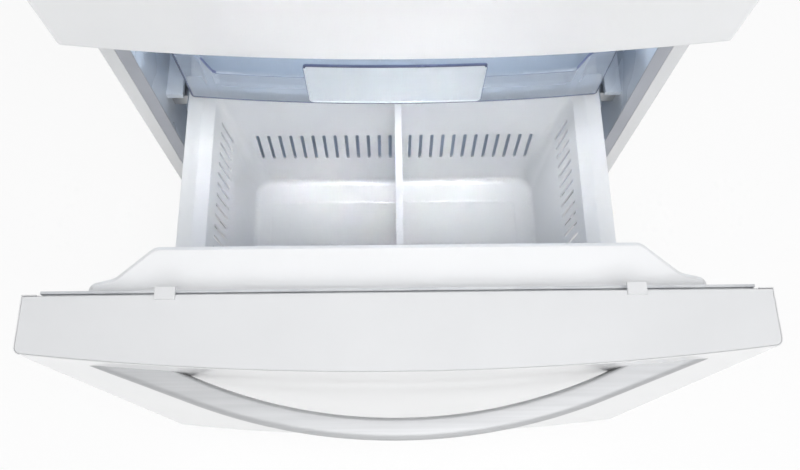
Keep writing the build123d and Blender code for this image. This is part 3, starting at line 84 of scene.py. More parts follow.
class Finish:
    """A material under construction: its node tree and its main shader."""

    def __init__(self, name, colour, roughness):
        self.material = bpy.data.materials.new(name)
        self.material.use_nodes = True
        tree = self.material.node_tree
        self.nodes, self.links = tree.nodes, tree.links
        self.shader = self.nodes["Principled BSDF"]
        self.shader.inputs["Base Color"].default_value = (*colour, 1)
        self.shader.inputs["Roughness"].default_value = roughness
        self.coordinates = self.nodes.new("ShaderNodeTexCoord").outputs["Object"]
        self.normal = None

    def set(self, **sockets):
        """Set the shader's own sockets; an underscore stands for a space."""
        for name, value in sockets.items():
            self.shader.inputs[name.replace("_", " ")].default_value = value

    def noise(self, scale, detail, stretch):
        """Noise with a given number of cells in a metre, squeezed or drawn out along the axes."""
        mapping = self.nodes.new("ShaderNodeMapping")
        mapping.inputs["Scale"].default_value = stretch
        self.links.new(self.coordinates, mapping.inputs["Vector"])
        texture = self.nodes.new("ShaderNodeTexNoise")
        texture.inputs["Scale"].default_value = scale
        texture.inputs["Detail"].default_value = detail
        self.links.new(mapping.outputs["Vector"], texture.inputs["Vector"])
        return texture.outputs["Fac"]

    def mottle(self, dark, light, scale, stretch=EVEN):
        """Let the colour drift between two close tones."""
        ramp = self.nodes.new("ShaderNodeValToRGB")
        for element, position, tone in zip(ramp.color_ramp.elements, TONE_SPAN, (dark, light)):
            element.position = position
            element.color = (*tone, 1)
        self.links.new(self.noise(scale, TONE_DETAIL, stretch), ramp.inputs["Fac"])
        self.links.new(ramp.outputs["Color"], self.shader.inputs["Base Color"])

    def uneven_gloss(self, low, high, scale, stretch=EVEN):
        """Let the roughness drift smoothly, as on a wiped surface."""
        span = self.nodes.new("ShaderNodeMapRange")
        span.inputs["To Min"].default_value = low
        span.inputs["To Max"].default_value = high
        self.links.new(self.noise(scale, GLOSS_DETAIL, stretch), span.inputs["Value"])
        self.links.new(span.outputs["Result"], self.shader.inputs["Roughness"])

    def soft_edges(self, radius):
        """Round the look of moulded or folded edges."""
        bevel = self.nodes.new("ShaderNodeBevel")
        bevel.samples = BEVEL_SAMPLES
        bevel.inputs["Radius"].default_value = radius
        self.normal = bevel.outputs["Normal"]

    def texture(self, scale, depth, stretch=EVEN):
        """Fine relief over any soft edges, depth in metres; gives the finish back."""
        bump = self.nodes.new("ShaderNodeBump")
        bump.inputs["Strength"].default_value = 1.0
        bump.inputs["Distance"].default_value = depth
        self.links.new(self.noise(scale, RELIEF_DETAIL, stretch), bump.inputs["Height"])
        if self.normal is not None:
            self.links.new(self.normal, bump.inputs["Normal"])
        self.links.new(bump.outputs["Normal"], self.shader.inputs["Normal"])
        return self


def white_enamel():
    """Baked white enamel on steel, with faint orange peel."""
    finish = Finish("white_enamel", (0.82, 0.823, 0.828), 0.3)
    finish.set(Coat_Weight=0.35, Coat_Roughness=0.08)
    finish.soft_edges(1.2 * MM)
    finish.mottle((0.81, 0.813, 0.818), (0.83, 0.833, 0.838), 3.0)
    finish.uneven_gloss(0.26, 0.36, 9.0)
    return finish.texture(700, 0.012 * MM)


def white_moulding():
    """Vacuum-formed white liner plastic with a satin grain."""
    finish = Finish("white_moulding", (0.84, 0.843, 0.85), 0.38)
    finish.set(Subsurface_Weight=0.06, Subsurface_Radius=(0.01, 0.01, 0.01), Subsurface_Scale=0.4)
    finish.soft_edges(1.5 * MM)
    finish.mottle((0.825, 0.828, 0.835), (0.85, 0.853, 0.86), 4.0)
    finish.uneven_gloss(0.3, 0.44, 12.0)
    return finish.texture(420, 0.02 * MM)


def cavity_moulding():
    """The compartments' lining, a cooler white than the doors."""
    finish = Finish("cavity_moulding", (0.74, 0.79, 0.86), 0.3)
    finish.soft_edges(2.0 * MM)
    finish.mottle((0.70, 0.76, 0.84), (0.77, 0.82, 0.88), 3.5)
    finish.uneven_gloss(0.22, 0.36, 10.0)
    return finish.texture(350, 0.02 * MM)


def cap_moulding():
    """Pale grey plastic of the doors' end caps."""
    finish = Finish("cap_moulding", (0.68, 0.685, 0.695), 0.42)
    finish.soft_edges(1.2 * MM)
    finish.mottle((0.665, 0.67, 0.68), (0.695, 0.70, 0.71), 5.0)
    finish.uneven_gloss(0.36, 0.48, 12.0)
    return finish.texture(500, 0.015 * MM)


def soft_gasket():
    """Pale flexible vinyl with a dull, slightly dusty skin."""
    finish = Finish("soft_gasket", (0.66, 0.67, 0.69), 0.6)
    finish.mottle((0.60, 0.61, 0.635), (0.70, 0.71, 0.725), 30.0)
    finish.uneven_gloss(0.5, 0.7, 40.0)
    return finish.texture(900, 0.03 * MM)


def satin_silver(name, stretch):
    """Silver-coated bar with fine polishing lines along it."""
    finish = Finish(name, (0.46, 0.465, 0.475), 0.5)
    finish.set(Metallic=0.5)
    finish.mottle((0.44, 0.445, 0.455), (0.48, 0.485, 0.495), 300.0, stretch)
    finish.uneven_gloss(0.46, 0.54, 240.0, stretch)
    return finish.texture(600, 0.006 * MM, stretch)


def basket_moulding():
    """Thick natural-white basket plastic that lets a little light through."""
    finish = Finish("basket_moulding", (0.87, 0.885, 0.91), 0.32)
    finish.set(Subsurface_Weight=0.2, Subsurface_Radius=(0.02, 0.02, 0.025), Subsurface_Scale=0.5)
    finish.mottle((0.86, 0.875, 0.905), (0.88, 0.895, 0.915), 3.0)
    finish.uneven_gloss(0.26, 0.4, 15.0)
    return finish.texture(500, 0.012 * MM)


def clear_moulding(name, tint, roughness, clarity=0.88):
    """Clear injection-moulded plastic with faint flow marks."""
    finish = Finish(name, tint, roughness)
    finish.set(Transmission_Weight=clarity, IOR=1.47)
    finish.uneven_gloss(roughness * 0.6, roughness * 1.4, 10.0)
    return finish.texture(60, 0.05 * MM)


def painted_edge_shade():
    """Painted shade: deep blue standing in for the dark look of clear plastic seen through its length.
    """
    finish = Finish("painted_edge_shade", (0.17, 0.19, 0.33), 0.25)
    finish.set(Transmission_Weight=0.25, IOR=1.47)
    finish.mottle((0.14, 0.16, 0.28), (0.21, 0.23, 0.37), 20.0)
    return finish.texture(80, 0.03 * MM)


def plain_metal(name, tone, roughness):
    """Rolled or plated sheet metal."""
    finish = Finish(name, tone, roughness)
    finish.set(Metallic=1.0)
    finish.soft_edges(0.6 * MM)
    finish.mottle(tuple(0.88 * part for part in tone), tone, 25.0)
    finish.uneven_gloss(roughness * 0.8, roughness * 1.3, 30.0)
    return finish.texture(400, 0.008 * MM)


def plain_paint(name, dark, light, roughness, grain=500.0, depth=0.02 * MM):
    """Painted or moulded surface that is mostly out of sight."""
    finish = Finish(name, light, roughness)
    finish.soft_edges(0.8 * MM)
    finish.mottle(dark, light, 12.0)
    finish.uneven_gloss(roughness * 0.85, roughness * 1.15, 20.0)
    return finish.texture(grain, depth)


def lamp_diffuser():
    """Frosted lens over the lamp."""
    finish = Finish("lamp_diffuser", (0.9, 0.92, 0.94), 0.4)
    finish.set(Transmission_Weight=0.4, Emission_Strength=0.35)
    finish.set(Emission_Color=(0.85, 0.92, 1.0, 1))
    return finish.texture(250, 0.05 * MM)


FINISHES = {
    "white_steel": white_enamel(),
    "white_plastic": white_moulding(),
    "gasket": soft_gasket(),
    "silver_metal": satin_silver("satin_silver_level", (0.02, 1, 1)),
    "basket_plastic": basket_moulding(),
    "ice_blue_plastic": clear_moulding("ice_blue_plastic", (0.84, 0.90, 0.98), 0.10, 0.68),
    "clear_plastic": clear_moulding("clear_plastic", (0.93, 0.96, 0.98), 0.08),
    "clear_glass": clear_moulding("clear_glass", (0.88, 0.97, 0.94), 0.02),
    "lamp_lens": lamp_diffuser(),
    "zinc_steel": plain_metal("zinc_steel", (0.62, 0.63, 0.64), 0.35),
    "grey_sheet": plain_paint("grey_sheet", (0.335, 0.345, 0.355), (0.355, 0.365, 0.375), 0.45),
    "black_steel": plain_paint("black_steel", (0.016, 0.016, 0.018), (0.028, 0.028, 0.03), 0.38),
    "coil_metal": plain_metal("coil_metal", (0.55, 0.56, 0.57), 0.42),
    "grey_plastic": plain_paint("grey_plastic", (0.44, 0.45, 0.46), (0.50, 0.51, 0.52), 0.5),
    "dark_plastic": plain_paint("dark_plastic", (0.03, 0.03, 0.032), (0.045, 0.045, 0.048), 0.5),
    "foam": plain_paint("foam", (0.62, 0.53, 0.30), (0.72, 0.64, 0.42), 0.9, 160.0, 0.6 * MM),
}
CAVITY = cavity_moulding()
# deep blue painted as shade on the clear tray's edges, where it is seen through its length
EDGE_SHADE = painted_edge_shade()
FROSTED_BLUE = clear_moulding("frosted_blue", (0.91, 0.955, 1.0), 0.35, 0.1)
# grey of the sheets painted as shade on the freezer mouth's flange
SHADE_SHEET_GREY = plain_paint("shade_sheet_grey", (0.44, 0.455, 0.50), (0.47, 0.485, 0.53), 0.5)
UPRIGHT_SILVER = satin_silver("satin_silver_upright", (1, 1, 0.02))
CAP_GREY = cap_moulding()

# nodes whose finish isn't that of their material slot
OWN_FINISHES = {
    "fridge_liner": CAVITY,
    "freezer_liner": CAVITY,
    "evaporator_cover": CAVITY,
    "door_handle": UPRIGHT_SILVER,
    "drawer_end_caps": CAP_GREY,
    "door_end_caps": CAP_GREY,
}


def dress_nodes():
    """Give every CAD node its own finish or that of its material slot."""
    for entry in frame["record"]["subparts"]:
        node = NODES[entry["node"]]
        finish = OWN_FINISHES.get(entry["node"], FINISHES[entry["material_slot"]])
        node.data.materials.clear()
        node.data.materials.append(finish.material)


# ---- modelled pieces: helpers that take millimetres, and angles in degrees ----

RING_STEPS = 7
LEAST_CORNER = 1.0


def arc(centre, radius, start, sweep, steps):
    """Points along an arc in a plane, both ends included."""
    across, along = centre
    turns = [math.radians(start + sweep * step / steps) for step in range(steps + 1)]
    return [(across + radius * math.cos(turn), along + radius * math.sin(turn)) for turn in turns]


def rounded_ring(outline, z):
    """Points at height z round a rounded rectangle (half-width, front, back, corner)."""
    half, front, back, corner = outline
    centres = (
        (half - corner, back - corner),
        (corner - half, back - corner),
        (corner - half, front + corner),
        (half - corner, front + corner),
    )
    points = []
    for quarter, centre in enumerate(centres):
        points += [(x, y, z) for x, y in arc(centre, corner, 90 * quarter, 90, RING_STEPS)]
    return points


def eased(outline, amount):
    """The same rounded rectangle, smaller all round by an amount."""
    half, front, back, corner = outline
    return (half - amount, front + amount, back - amount, max(corner - amount, LEAST_CORNER))


def between(low, high, share):
    """Rounded rectangle part of the way from one to another."""
    return tuple(a + (b - a) * share for a, b in zip(low, high))


def add_row(mesh, points):
    """Add a row of vertices, at points in millimetres, to a mesh in metres."""
    return [mesh.verts.new(Vector(point) * MM) for point in points]


def band(mesh, low, high):
    """Join two closed rows of equal length by quads, and return those in the rows' order."""
    faces = []
    for index in range(len(low)):
        after = (index + 1) % len(low)
        faces.append(mesh.faces.new((low[index], low[after], high[after], high[index])))
    return faces


def close_rows(mesh, rows):
    """Join successive closed rows by bands, and cap the first and the last."""
    for low, high in zip(rows, rows[1:]):
        band(mesh, low, high)
    mesh.faces.new(rows[0])
    mesh.faces.new(rows[-1])


def skinned(rings):
    """Closed mesh through rings of points, capped at both ends."""
    mesh = bmesh.new()
    close_rows(mesh, [add_row(mesh, ring) for ring in rings])
    return mesh


def finished(name, mesh, materials, smooth_angle=35.0):
    """Turn a bmesh into a shaded object of the scene."""
    bmesh.ops.recalc_face_normals(mesh, faces=mesh.faces)
    data = bpy.data.meshes.new(name)
    mesh.to_mesh(data)
    mesh.free()
    for finish in materials:
        data.materials.append(finish.material)
    piece = bpy.data.objects.new(name, data)
    bpy.context.scene.collection.objects.link(piece)
    for face in data.polygons:
        face.use_smooth = True
    data.set_sharp_from_angle(angle=math.radians(smooth_angle))
    return piece


def place(piece, body, slot, *nodes):
    """Ride on a body and stand for CAD nodes; the slot is not used."""
    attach(piece, body)
    if nodes:
        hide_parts(*nodes)


# ---- freezer basket ----

# outlines in millimetres, as (half-width, front, back, corner), and their heights
BASKET_FOOT, FOOT_Z = (277.0, -426.0, -85.0, 38.0), 136.0
BASKET_MOUTH, MOUTH_Z = (300.0, -446.0, -62.0, 15.0), 428.0
BASKET_BAND, RIM_Z = (316.0, -457.0, -50.0, 14.0), 439.0
BASKET_EDGE = (340.0, -468.0, -38.0, 20.0)
BASKET_SHEET = 3.0
COVE, COVE_STEPS, FOOT_STEPS = 12.0, 6, 4
INNER_WALL_Z, OUTER_WALL_Z = (220.0, 320.0, 420.0), (400.0, 320.0, 220.0)
# the floor's shallow panel, and its edge as (inset, drop) pairs
FLOOR_TOP = 139.0
FLOOR_PANEL, FLOOR_PANEL_X = (242.5, -388.0, -133.0, 14.0), -2.5
FLOOR_PANEL_EDGE = ((2.6, 1.2), (1.6, 1.0), (0.6, 0.3), (-0.4, 0.0))
# the wall's mouth turns out into the lip, and the lip into the flat band: (outline, inset, height)
LIP_INSIDE = (
    (BASKET_MOUTH, BASKET_SHEET - 0.4, MOUTH_Z - 1.4),
    (BASKET_MOUTH, BASKET_SHEET - 1.6, MOUTH_Z - 0.3),
    (BASKET_MOUTH, 0.2, MOUTH_Z + 0.2),
    (between(BASKET_MOUTH, BASKET_BAND, 0.9), 0.0, RIM_Z - 1.2),
    (BASKET_BAND, 0.0, RIM_Z - 0.25),
    (BASKET_BAND, -1.4, RIM_Z),
)
# the band's rounded outer edge as (inset, drop) pairs
BAND_EDGE = ((1.6, 0.0), (0.5, 0.4), (0.0, 1.5), (0.4, 2.6), (1.4, 3.0))
LIP_OUTSIDE = (
    (BASKET_BAND, -3.0, RIM_Z - BASKET_SHEET),
    (BASKET_BAND, -1.4, RIM_Z - BASKET_SHEET - 0.4),
    (BASKET_MOUTH, -1.2, MOUTH_Z - 1.6),
    (BASKET_MOUTH, 0.0, MOUTH_Z - 3.0),
)
# slots: width, reach of their cutters, and the rows in the side walls and in the back wall
SLOT, SLOT_CUT, SLOT_END_STEPS = 6.0, 30.0, 6
SIDE_SLOTS, SIDE_SLOT_FIRST, SIDE_SLOT_PITCH = 18, -90.0, 18.5
SIDE_SLOT_Z, SIDE_SLOT_X = (318.0, 391.0), 294.0
BACK_SLOT_ROWS, BACK_SLOT_PITCH = ((-248.0, 13), (28.0, 12)), 20.0
BACK_SLOT_Z, BACK_SLOT_Y = (229.0, 311.0), -74.5
SLOTTED_SMOOTH_ANGLE = 32.0


def wall_outline(z):
    """Outer outline of the basket's drafted wall at a height."""
    return between(BASKET_FOOT, BASKET_MOUTH, (z - FOOT_Z) / (MOUTH_Z - FOOT_Z))


def basket_levels():
    """Rings up the basket's inside, over its rim and down its outside: (outline, inset, height)."""
    levels = []
    for step in range(COVE_STEPS + 1):
        turn = math.radians(90 * step / COVE_STEPS)
        z = FLOOR_TOP + COVE * (1 - math.cos(turn))
        levels.append((wall_outline(z), BASKET_SHEET + COVE * (1 - math.sin(turn)), z))
    levels += [(wall_outline(z), BASKET_SHEET, z) for z in INNER_WALL_Z]
    levels += LIP_INSIDE
    levels += [(BASKET_EDGE, inset, RIM_Z - drop) for inset, drop in BAND_EDGE]
    levels += LIP_OUTSIDE
    levels += [(wall_outline(z), 0.0, z) for z in OUTER_WALL_Z]
    for step in range(FOOT_STEPS + 1):
        turn = math.radians(90 * step / FOOT_STEPS)
        z = FOOT_Z + COVE * (1 - math.sin(turn))
        levels.append((wall_outline(z), COVE * (1 - math.cos(turn)), z))
    return levels


def slot_cutter(mesh, centre, z_span, across):
    """Add an upright slot with round ends; across is the slot's own width direction, X or Y."""
    radius = SLOT / 2
    low, high = z_span
    profile = arc((0.0, high - radius), radius, 0, 180, SLOT_END_STEPS)
    profile += arc((0.0, low + radius), radius, 180, 180, SLOT_END_STEPS)
    rows = []
    for reach in (-SLOT_CUT / 2, SLOT_CUT / 2):
        row = []
        for shift, z in profile:
            x, y = (shift, reach) if across == "X" else (reach, shift)
            row.append((centre[0] + x, centre[1] + y, z))
        rows.append(add_row(mesh, row))
    close_rows(mesh, rows)


def slot_cutters():
    """Cutters of all the slots in the side walls and in the back wall."""
    mesh = bmesh.new()
    for index in range(SIDE_SLOTS):
        y = SIDE_SLOT_FIRST - SIDE_SLOT_PITCH * index
        for side in (-1, 1):
            slot_cutter(mesh, (side * SIDE_SLOT_X, y), SIDE_SLOT_Z, "Y")
    for first, count in BACK_SLOT_ROWS:
        for index in range(count):
            slot_cutter(mesh, (first + BACK_SLOT_PITCH * index, BACK_SLOT_Y), BACK_SLOT_Z, "X")
    return mesh


def cut(piece, cutter_mesh):
    """Take a cutter's volume out of a piece for good."""
    cutter = finished("cutter", cutter_mesh, [])
    modifier = piece.modifiers.new("slots", "BOOLEAN")
    modifier.operation = "DIFFERENCE"
    modifier.solver = "EXACT"
    modifier.object = cutter
    bpy.context.view_layer.update()
    graph = bpy.context.evaluated_depsgraph_get()
    data = bpy.data.meshes.new_from_object(piece.evaluated_get(graph))
    piece.modifiers.clear()
    piece.data = data
    bpy.data.objects.remove(cutter)


def freezer_basket():
    """Slotted basket: coved floor with a shallow panel, drafted walls, flared lip and flat band."""
    rings = []
    for inset, drop in FLOOR_PANEL_EDGE:
        panel = rounded_ring(eased(FLOOR_PANEL, inset), FLOOR_TOP - drop)
        rings.append([(x + FLOOR_PANEL_X, y, z) for x, y, z in panel])
    rings += [rounded_ring(eased(outline, inset), z) for outline, inset, z in basket_levels()]
    piece = finished("slotted_basket", skinned(rings), [FINISHES["basket_plastic"]])
    cut(piece, slot_cutters())
    piece.data.set_sharp_from_angle(angle=math.radians(SLOTTED_SMOOTH_ANGLE))
    place(piece, "drawer", "basket_plastic", "freezer_basket")


# ---- clear tray above the basket ----

# plan and heights in millimetres; the front wall bows forward in the middle
TRAY_HALF, TRAY_FRONT, TRAY_BACK, TRAY_BOW = 335.0, -87.0, 369.0, 16.0
FRONT_CORNER, BACK_CORNER, CORNER_STEPS = 8.0, 16.0, 6
TRAY_LOW, TRAY_FLOOR, TRAY_HIGH = 446.0, 470.0, 574.0
# the front's top edge dips into a scoop between two slopes, which carry the painted edge shade except
# at their ends
SCOOP_Z, SCOOP_SLOPE_X, SLOPE_END = 527.0, (278.0, 296.0), 3.0
# the sides' top edges drop to the back wall's height
BACK_Z, SIDE_DROP_Y = 540.0, (255.0, 345.0)
BOW_STEPS = 64
SIDE_STATIONS, BACK_STATIONS = (-20.0, 60.0, 160.0, 260.0, 330.0, 350.0), (200.0, 100.0)
# section of the wall with its rolled top edge, from the foot up the outside and down the inside, as
# (inset, end, height above that end)
TRAY_WALL, ROLLED_REACH = 2.6, 0.9
TRAY_SECTION = (
    (0.3, "low", 0.0),
    (0.0, "low", 0.6),
    (0.0, "low", 4.0),
    (0.0, "top", -2.2),
    (-ROLLED_REACH, "top", -1.2),
    (-ROLLED_REACH, "top", -0.3),
    (TRAY_WALL + ROLLED_REACH, "top", -0.3),
    (TRAY_WALL + ROLLED_REACH, "top", -1.2),
    (TRAY_WALL, "top", -2.2),
    (TRAY_WALL, "low", 0.6),
    (TRAY_WALL - 0.3, "low", 0.0),
)
# bands of the section that carry the painted edge shade all round, the outer face's band and the top's
SHADED_BANDS, OUTER_BAND, TOP_BAND = (0, 1, 4, 9, 10), 2, 5
# a front corner carries the painted edge shade within these shares of its radius, from the side and
# from the turn's end
CORNER_SHARE_X, CORNER_SHARE_Y = 0.6, 0.25
# how far the floor's edge goes into the wall
FLOOR_GRIP = 0.4


def bow_y(x):
    """Depth of the tray's bowed front wall at a given x."""
    return TRAY_FRONT + TRAY_BOW * (x / TRAY_HALF) ** 2


def smooth_step(value, low, high):
    """Ease from 0 to 1 as a value goes from low to high."""
    share = min(max((value - low) / (high - low), 0.0), 1.0)
    return share * share * (3 - 2 * share)


def tray_path():
    """Plan of the tray's wall as (x, y, top) stations, anticlockwise from the middle of its front."""
    bow_half = TRAY_HALF - FRONT_CORNER
    right = []
    for step in range(BOW_STEPS + 1):
        x = bow_half * step / BOW_STEPS
        rise = smooth_step(x, *SCOOP_SLOPE_X)
        right.append((x, bow_y(x), SCOOP_Z + (TRAY_HIGH - SCOOP_Z) * rise))
    front_centre = (bow_half, bow_y(bow_half) + FRONT_CORNER)
    for x, y in arc(front_centre, FRONT_CORNER, -90, 90, CORNER_STEPS)[1:]:
        right.append((x, y, TRAY_HIGH))
    for y in SIDE_STATIONS:
        drop = smooth_step(y, *SIDE_DROP_Y)
        right.append((TRAY_HALF, y, TRAY_HIGH + (BACK_Z - TRAY_HIGH) * drop))
    back_centre = (TRAY_HALF - BACK_CORNER, TRAY_BACK - BACK_CORNER)
    for x, y in arc(back_centre, BACK_CORNER, 0, 90, CORNER_STEPS)[1:]:
        right.append((x, y, BACK_Z))
    right += [(x, TRAY_BACK, BACK_Z) for x in BACK_STATIONS]
    left = [(-x, y, top) for x, y, top in reversed(right)]
    return right + [(0.0, TRAY_BACK, BACK_Z)] + left[:-1]


def inward(path, amount):
    """Plan points of a closed path moved towards its inside."""
    moved = []
    count = len(path)
    for index, (x, y, _) in enumerate(path):
        before, after = path[index - 1], path[(index + 1) % count]
        along = Vector((after[0] - before[0], after[1] - before[1]))
        along.normalize()
        moved.append((x - along.y * amount, y + along.x * amount))
    return moved


def in_corner(x, y):
    """Whether a point of the tray's plan lies in the middle part of a front corner's turn."""
    turn_end = bow_y(TRAY_HALF) + FRONT_CORNER
    past_bow = abs(x) > TRAY_HALF - FRONT_CORNER * CORNER_SHARE_X
    return past_bow and y < turn_end - FRONT_CORNER * CORNER_SHARE_Y


def carries_edge_shade(number, x, y, top):
    """Whether a band carries the painted edge shade at a station: edges, front corners, top of the
    scoop's slopes.
    """
    cornering = number == OUTER_BAND and in_corner(x, y)
    sloping = number == TOP_BAND and SCOOP_Z + SLOPE_END < top < TRAY_HIGH - SLOPE_END
    return number in SHADED_BANDS or cornering or sloping


def tray_shell():
    """Clear tray: one wall all round with a rolled top edge, and a floor above the wall's foot."""
    path = tray_path()
    mesh = bmesh.new()
    rows = []
    for inset, end, shift in TRAY_SECTION:
        row = []
        for (x, y), (_, _, top) in zip(inward(path, inset), path):
            row.append((x, y, (TRAY_LOW if end == "low" else top) + shift))
        rows.append(add_row(mesh, row))
    # bands that carry the painted edge shade take the second material
    for number, (low, high) in enumerate(zip(rows, rows[1:] + rows[:1])):
        for face, station in zip(band(mesh, low, high), path):
            face.material_index = int(carries_edge_shade(number, *station))
    plan = inward(path, TRAY_WALL - FLOOR_GRIP)
    faces_z = (TRAY_FLOOR, TRAY_FLOOR + TRAY_WALL)
    close_rows(mesh, [add_row(mesh, [(x, y, z) for x, y in plan]) for z in faces_z])
    piece = finished("tray_shell", mesh, [FINISHES["ice_blue_plastic"], EDGE_SHADE], smooth_angle=50)
    place(piece, "tray", "ice_blue_plastic", "freezer_tray")


# handle panel on the tray's front, in millimetres, and the height from which its border carries the
# painted edge shade
PANEL_HALF, PANEL_LOW, PANEL_HIGH = 139.0, 455.0, 564.0
PANEL_SHADE_Z = 512.0
# its corners shrink with the inset; the top ones shrink less, so that the innermost stay round
PANEL_TOP_CORNER, PANEL_LOW_CORNER, TOP_CORNER_SHARE = 6.0, 9.0, 0.6
# layers from its back face over the raised border to its front face, as (inset, reach) pairs
PANEL_LAYERS = ((0.0, -0.4), (0.0, -3.4), (0.9, -4.0), (2.4, -4.0), (3.2, -3.4), (3.6, -2.4))
PANEL_RIM_BANDS = (0, 1)
# places along its long edges where it follows the tray's bow
PANEL_STATIONS = [16.0 * step for step in range(7, -8, -1)]


def plate_outline(inset):
    """The panel's outline, smaller by an inset: (x, z) points, anticlockwise from the lower right."""
    half, low, high = PANEL_HALF - inset, PANEL_LOW + inset, PANEL_HIGH - inset
    top_corner, low_corner = PANEL_TOP_CORNER - inset * TOP_CORNER_SHARE, PANEL_LOW_CORNER - inset
    corners = (
        (half - low_corner, low + low_corner, low_corner, 270),
        (half - top_corner, high - top_corner, top_corner, 0),
        (top_corner - half, high - top_corner, top_corner, 90),
        (low_corner - half, low + low_corner, low_corner, 180),
    )
    points = []
    for x, z, radius, start in corners:
        points += arc((x, z), radius, start, 90, CORNER_STEPS)
        if start == 0:
            points += [(station, high) for station in PANEL_STATIONS]
        if start == 180:
            points += [(-station, low) for station in PANEL_STATIONS]
    return points


def bowed_face(mesh, row):
    """Close a plate outline with upright strips, so that the face keeps the bow."""
    count = len(PANEL_STATIONS)
    arcs = (len(row) - 2 * count) // 2
    upper, lower = row[arcs:arcs + count], row[:-count - 1:-1]
    for step in range(count - 1):
        mesh.faces.new((upper[step], upper[step + 1], lower[step + 1], lower[step]))
    mesh.faces.new(row[:arcs] + [upper[0], lower[0]])
    mesh.faces.new([upper[-1]] + row[arcs + count:-count] + [lower[-1]])


def tray_panel():
    """Handle panel: a clear plate that follows the tray's bow, with a raised border; its rim and all
    above a height carry painted edge shade.
    """
    mesh = bmesh.new()
    rows = []
    for inset, reach in PANEL_LAYERS:
        rows.append(add_row(mesh, [(x, bow_y(x) + reach, z) for x, z in plate_outline(inset)]))
    # the rim bands and all faces above a height take the painted edge shade
    for number, (outer, inner) in enumerate(zip(rows, rows[1:])):
        for face in band(mesh, outer, inner):
            height = sum(vertex.co.z for vertex in face.verts) / len(face.verts)
            face.material_index = int(height > PANEL_SHADE_Z * MM or number in PANEL_RIM_BANDS)
    bowed_face(mesh, rows[0])
    bowed_face(mesh, rows[-1])
    piece = finished("tray_handle_panel", mesh, [FROSTED_BLUE, EDGE_SHADE], smooth_angle=40)
    place(piece, "tray", "ice_blue_plastic")


# ---- drawer's liner ----

# radius of its rolled edges and depth of its flat field, in millimetres
LINER_ROUND, LINER_ROUND_STEPS = 5.0, 5
LINER_FIELD_Y = -480.0
# the CAD mesh is joined and freed of flat edges first: distance in millimetres, angles in degrees
WELD, FLAT_ANGLE, EDGE_ANGLE = 0.02, 1.5, 25.0


def is_proud(edge):
    """Whether an edge of the liner stands above its flat field and turns outwards."""
    raised = min(vertex.co.y for vertex in edge.verts) > LINER_FIELD_Y * MM
    outward = edge.is_manifold and edge.is_convex
    return raised and outward and edge.calc_face_angle() > math.radians(EDGE_ANGLE)


def rounded_liner():
    """The drawer's liner with the rolled edges that vacuum forming gives its ledges."""
    source = NODES["drawer_liner"]
    mesh = bmesh.new()
    mesh.from_mesh(source.data)
    mesh.transform(source.matrix_world)
    bmesh.ops.remove_doubles(mesh, verts=mesh.verts, dist=WELD * MM)
    flat = math.radians(FLAT_ANGLE)
    bmesh.ops.dissolve_limit(mesh, angle_limit=flat, verts=mesh.verts, edges=mesh.edges)
    bmesh.ops.bevel(
        mesh,
        geom=[edge for edge in mesh.edges if is_proud(edge)],
        offset=LINER_ROUND * MM,
        segments=LINER_ROUND_STEPS,
        profile=0.5,
        affect="EDGES",
        clamp_overlap=True,
    )
    piece = finished("drawer_liner_rolled", mesh, [FINISHES["white_plastic"]], smooth_angle=30)
    place(piece, "drawer", "white_plastic", "drawer_liner")


# ---- bow handles ----

# arcs of the bar's two faces, its ends and its edges, in millimetres
HANDLE_DEPTH, HANDLE_HALF_HEIGHT = 24.0, 14.0
OUTER_RADIUS, OUTER_HALF, RUN_OUT = 660.0, 230.0, 125.0
INNER_RADIUS, INNER_HALF = 600.0, 238.0
HANDLE_ROUND, HANDLE_BACK_ROUND, HANDLE_END_FLAT = 8.0, 3.0, 1.0
HANDLE_STATIONS, SECTION_STEPS = 60, 6
# places that the bars stand on, and the depth of their crests in front of these (negative is outwards)
DRAWER_HANDLE_PLACE, DRAWER_HANDLE_CREST = Vector((0, -551, 694)), -91.8
DOOR_HANDLE_PLACE, DOOR_HANDLE_CREST = Vector((-360, -171, 1255)), -73.0
HANDLE_LEAN = math.radians(8.5)


def arc_depth(x, crest, radius, half):
    """Depth of a face that follows an arc up to half, and its tangent from there on."""
    near = min(x, half)
    turn = math.asin(near / radius)
    return crest + radius * (1 - math.cos(turn)) + (x - near) * math.tan(turn)


def handle_section(x, crest):
    """Section across the bar as (depth, height) points, with rounded corners."""
    front = arc_depth(x, crest, OUTER_RADIUS, OUTER_HALF)
    back = arc_depth(x, crest + HANDLE_DEPTH, INNER_RADIUS, INNER_HALF)
    run_out = arc_depth(OUTER_HALF + RUN_OUT, crest, OUTER_RADIUS, OUTER_HALF)
    back = min(back, run_out + HANDLE_ROUND + HANDLE_BACK_ROUND + HANDLE_END_FLAT)
    corners = (
        (front + HANDLE_ROUND, 1, HANDLE_ROUND),
        (back - HANDLE_BACK_ROUND, 1, HANDLE_BACK_ROUND),
        (back - HANDLE_BACK_ROUND, -1, HANDLE_BACK_ROUND),
        (front + HANDLE_ROUND, -1, HANDLE_ROUND),
    )
    points = []
    for quarter, (depth, side, radius) in enumerate(corners):
        centre = (depth, side * (HANDLE_HALF_HEIGHT - radius))
        points += arc(centre, radius, 180 - 90 * quarter, -90, SECTION_STEPS)
    return points


def bow_handle(name, body, crest, origin, along, outward, finish):
    """Smooth bow-shaped bar that runs out into the door's front."""
    upward = outward.cross(along)
    reach = OUTER_HALF + RUN_OUT * math.cos(math.asin(OUTER_HALF / OUTER_RADIUS))
    rings = []
    for station in range(-HANDLE_STATIONS, HANDLE_STATIONS + 1):
        x = reach * station / HANDLE_STATIONS
        middle = origin + along * x
        section = handle_section(abs(x), crest)
        rings.append([middle - outward * depth + upward * height for depth, height in section])
    piece = finished(name + "_bar", skinned(rings), [finish], smooth_angle=30)
    place(piece, body, "silver_metal", name)


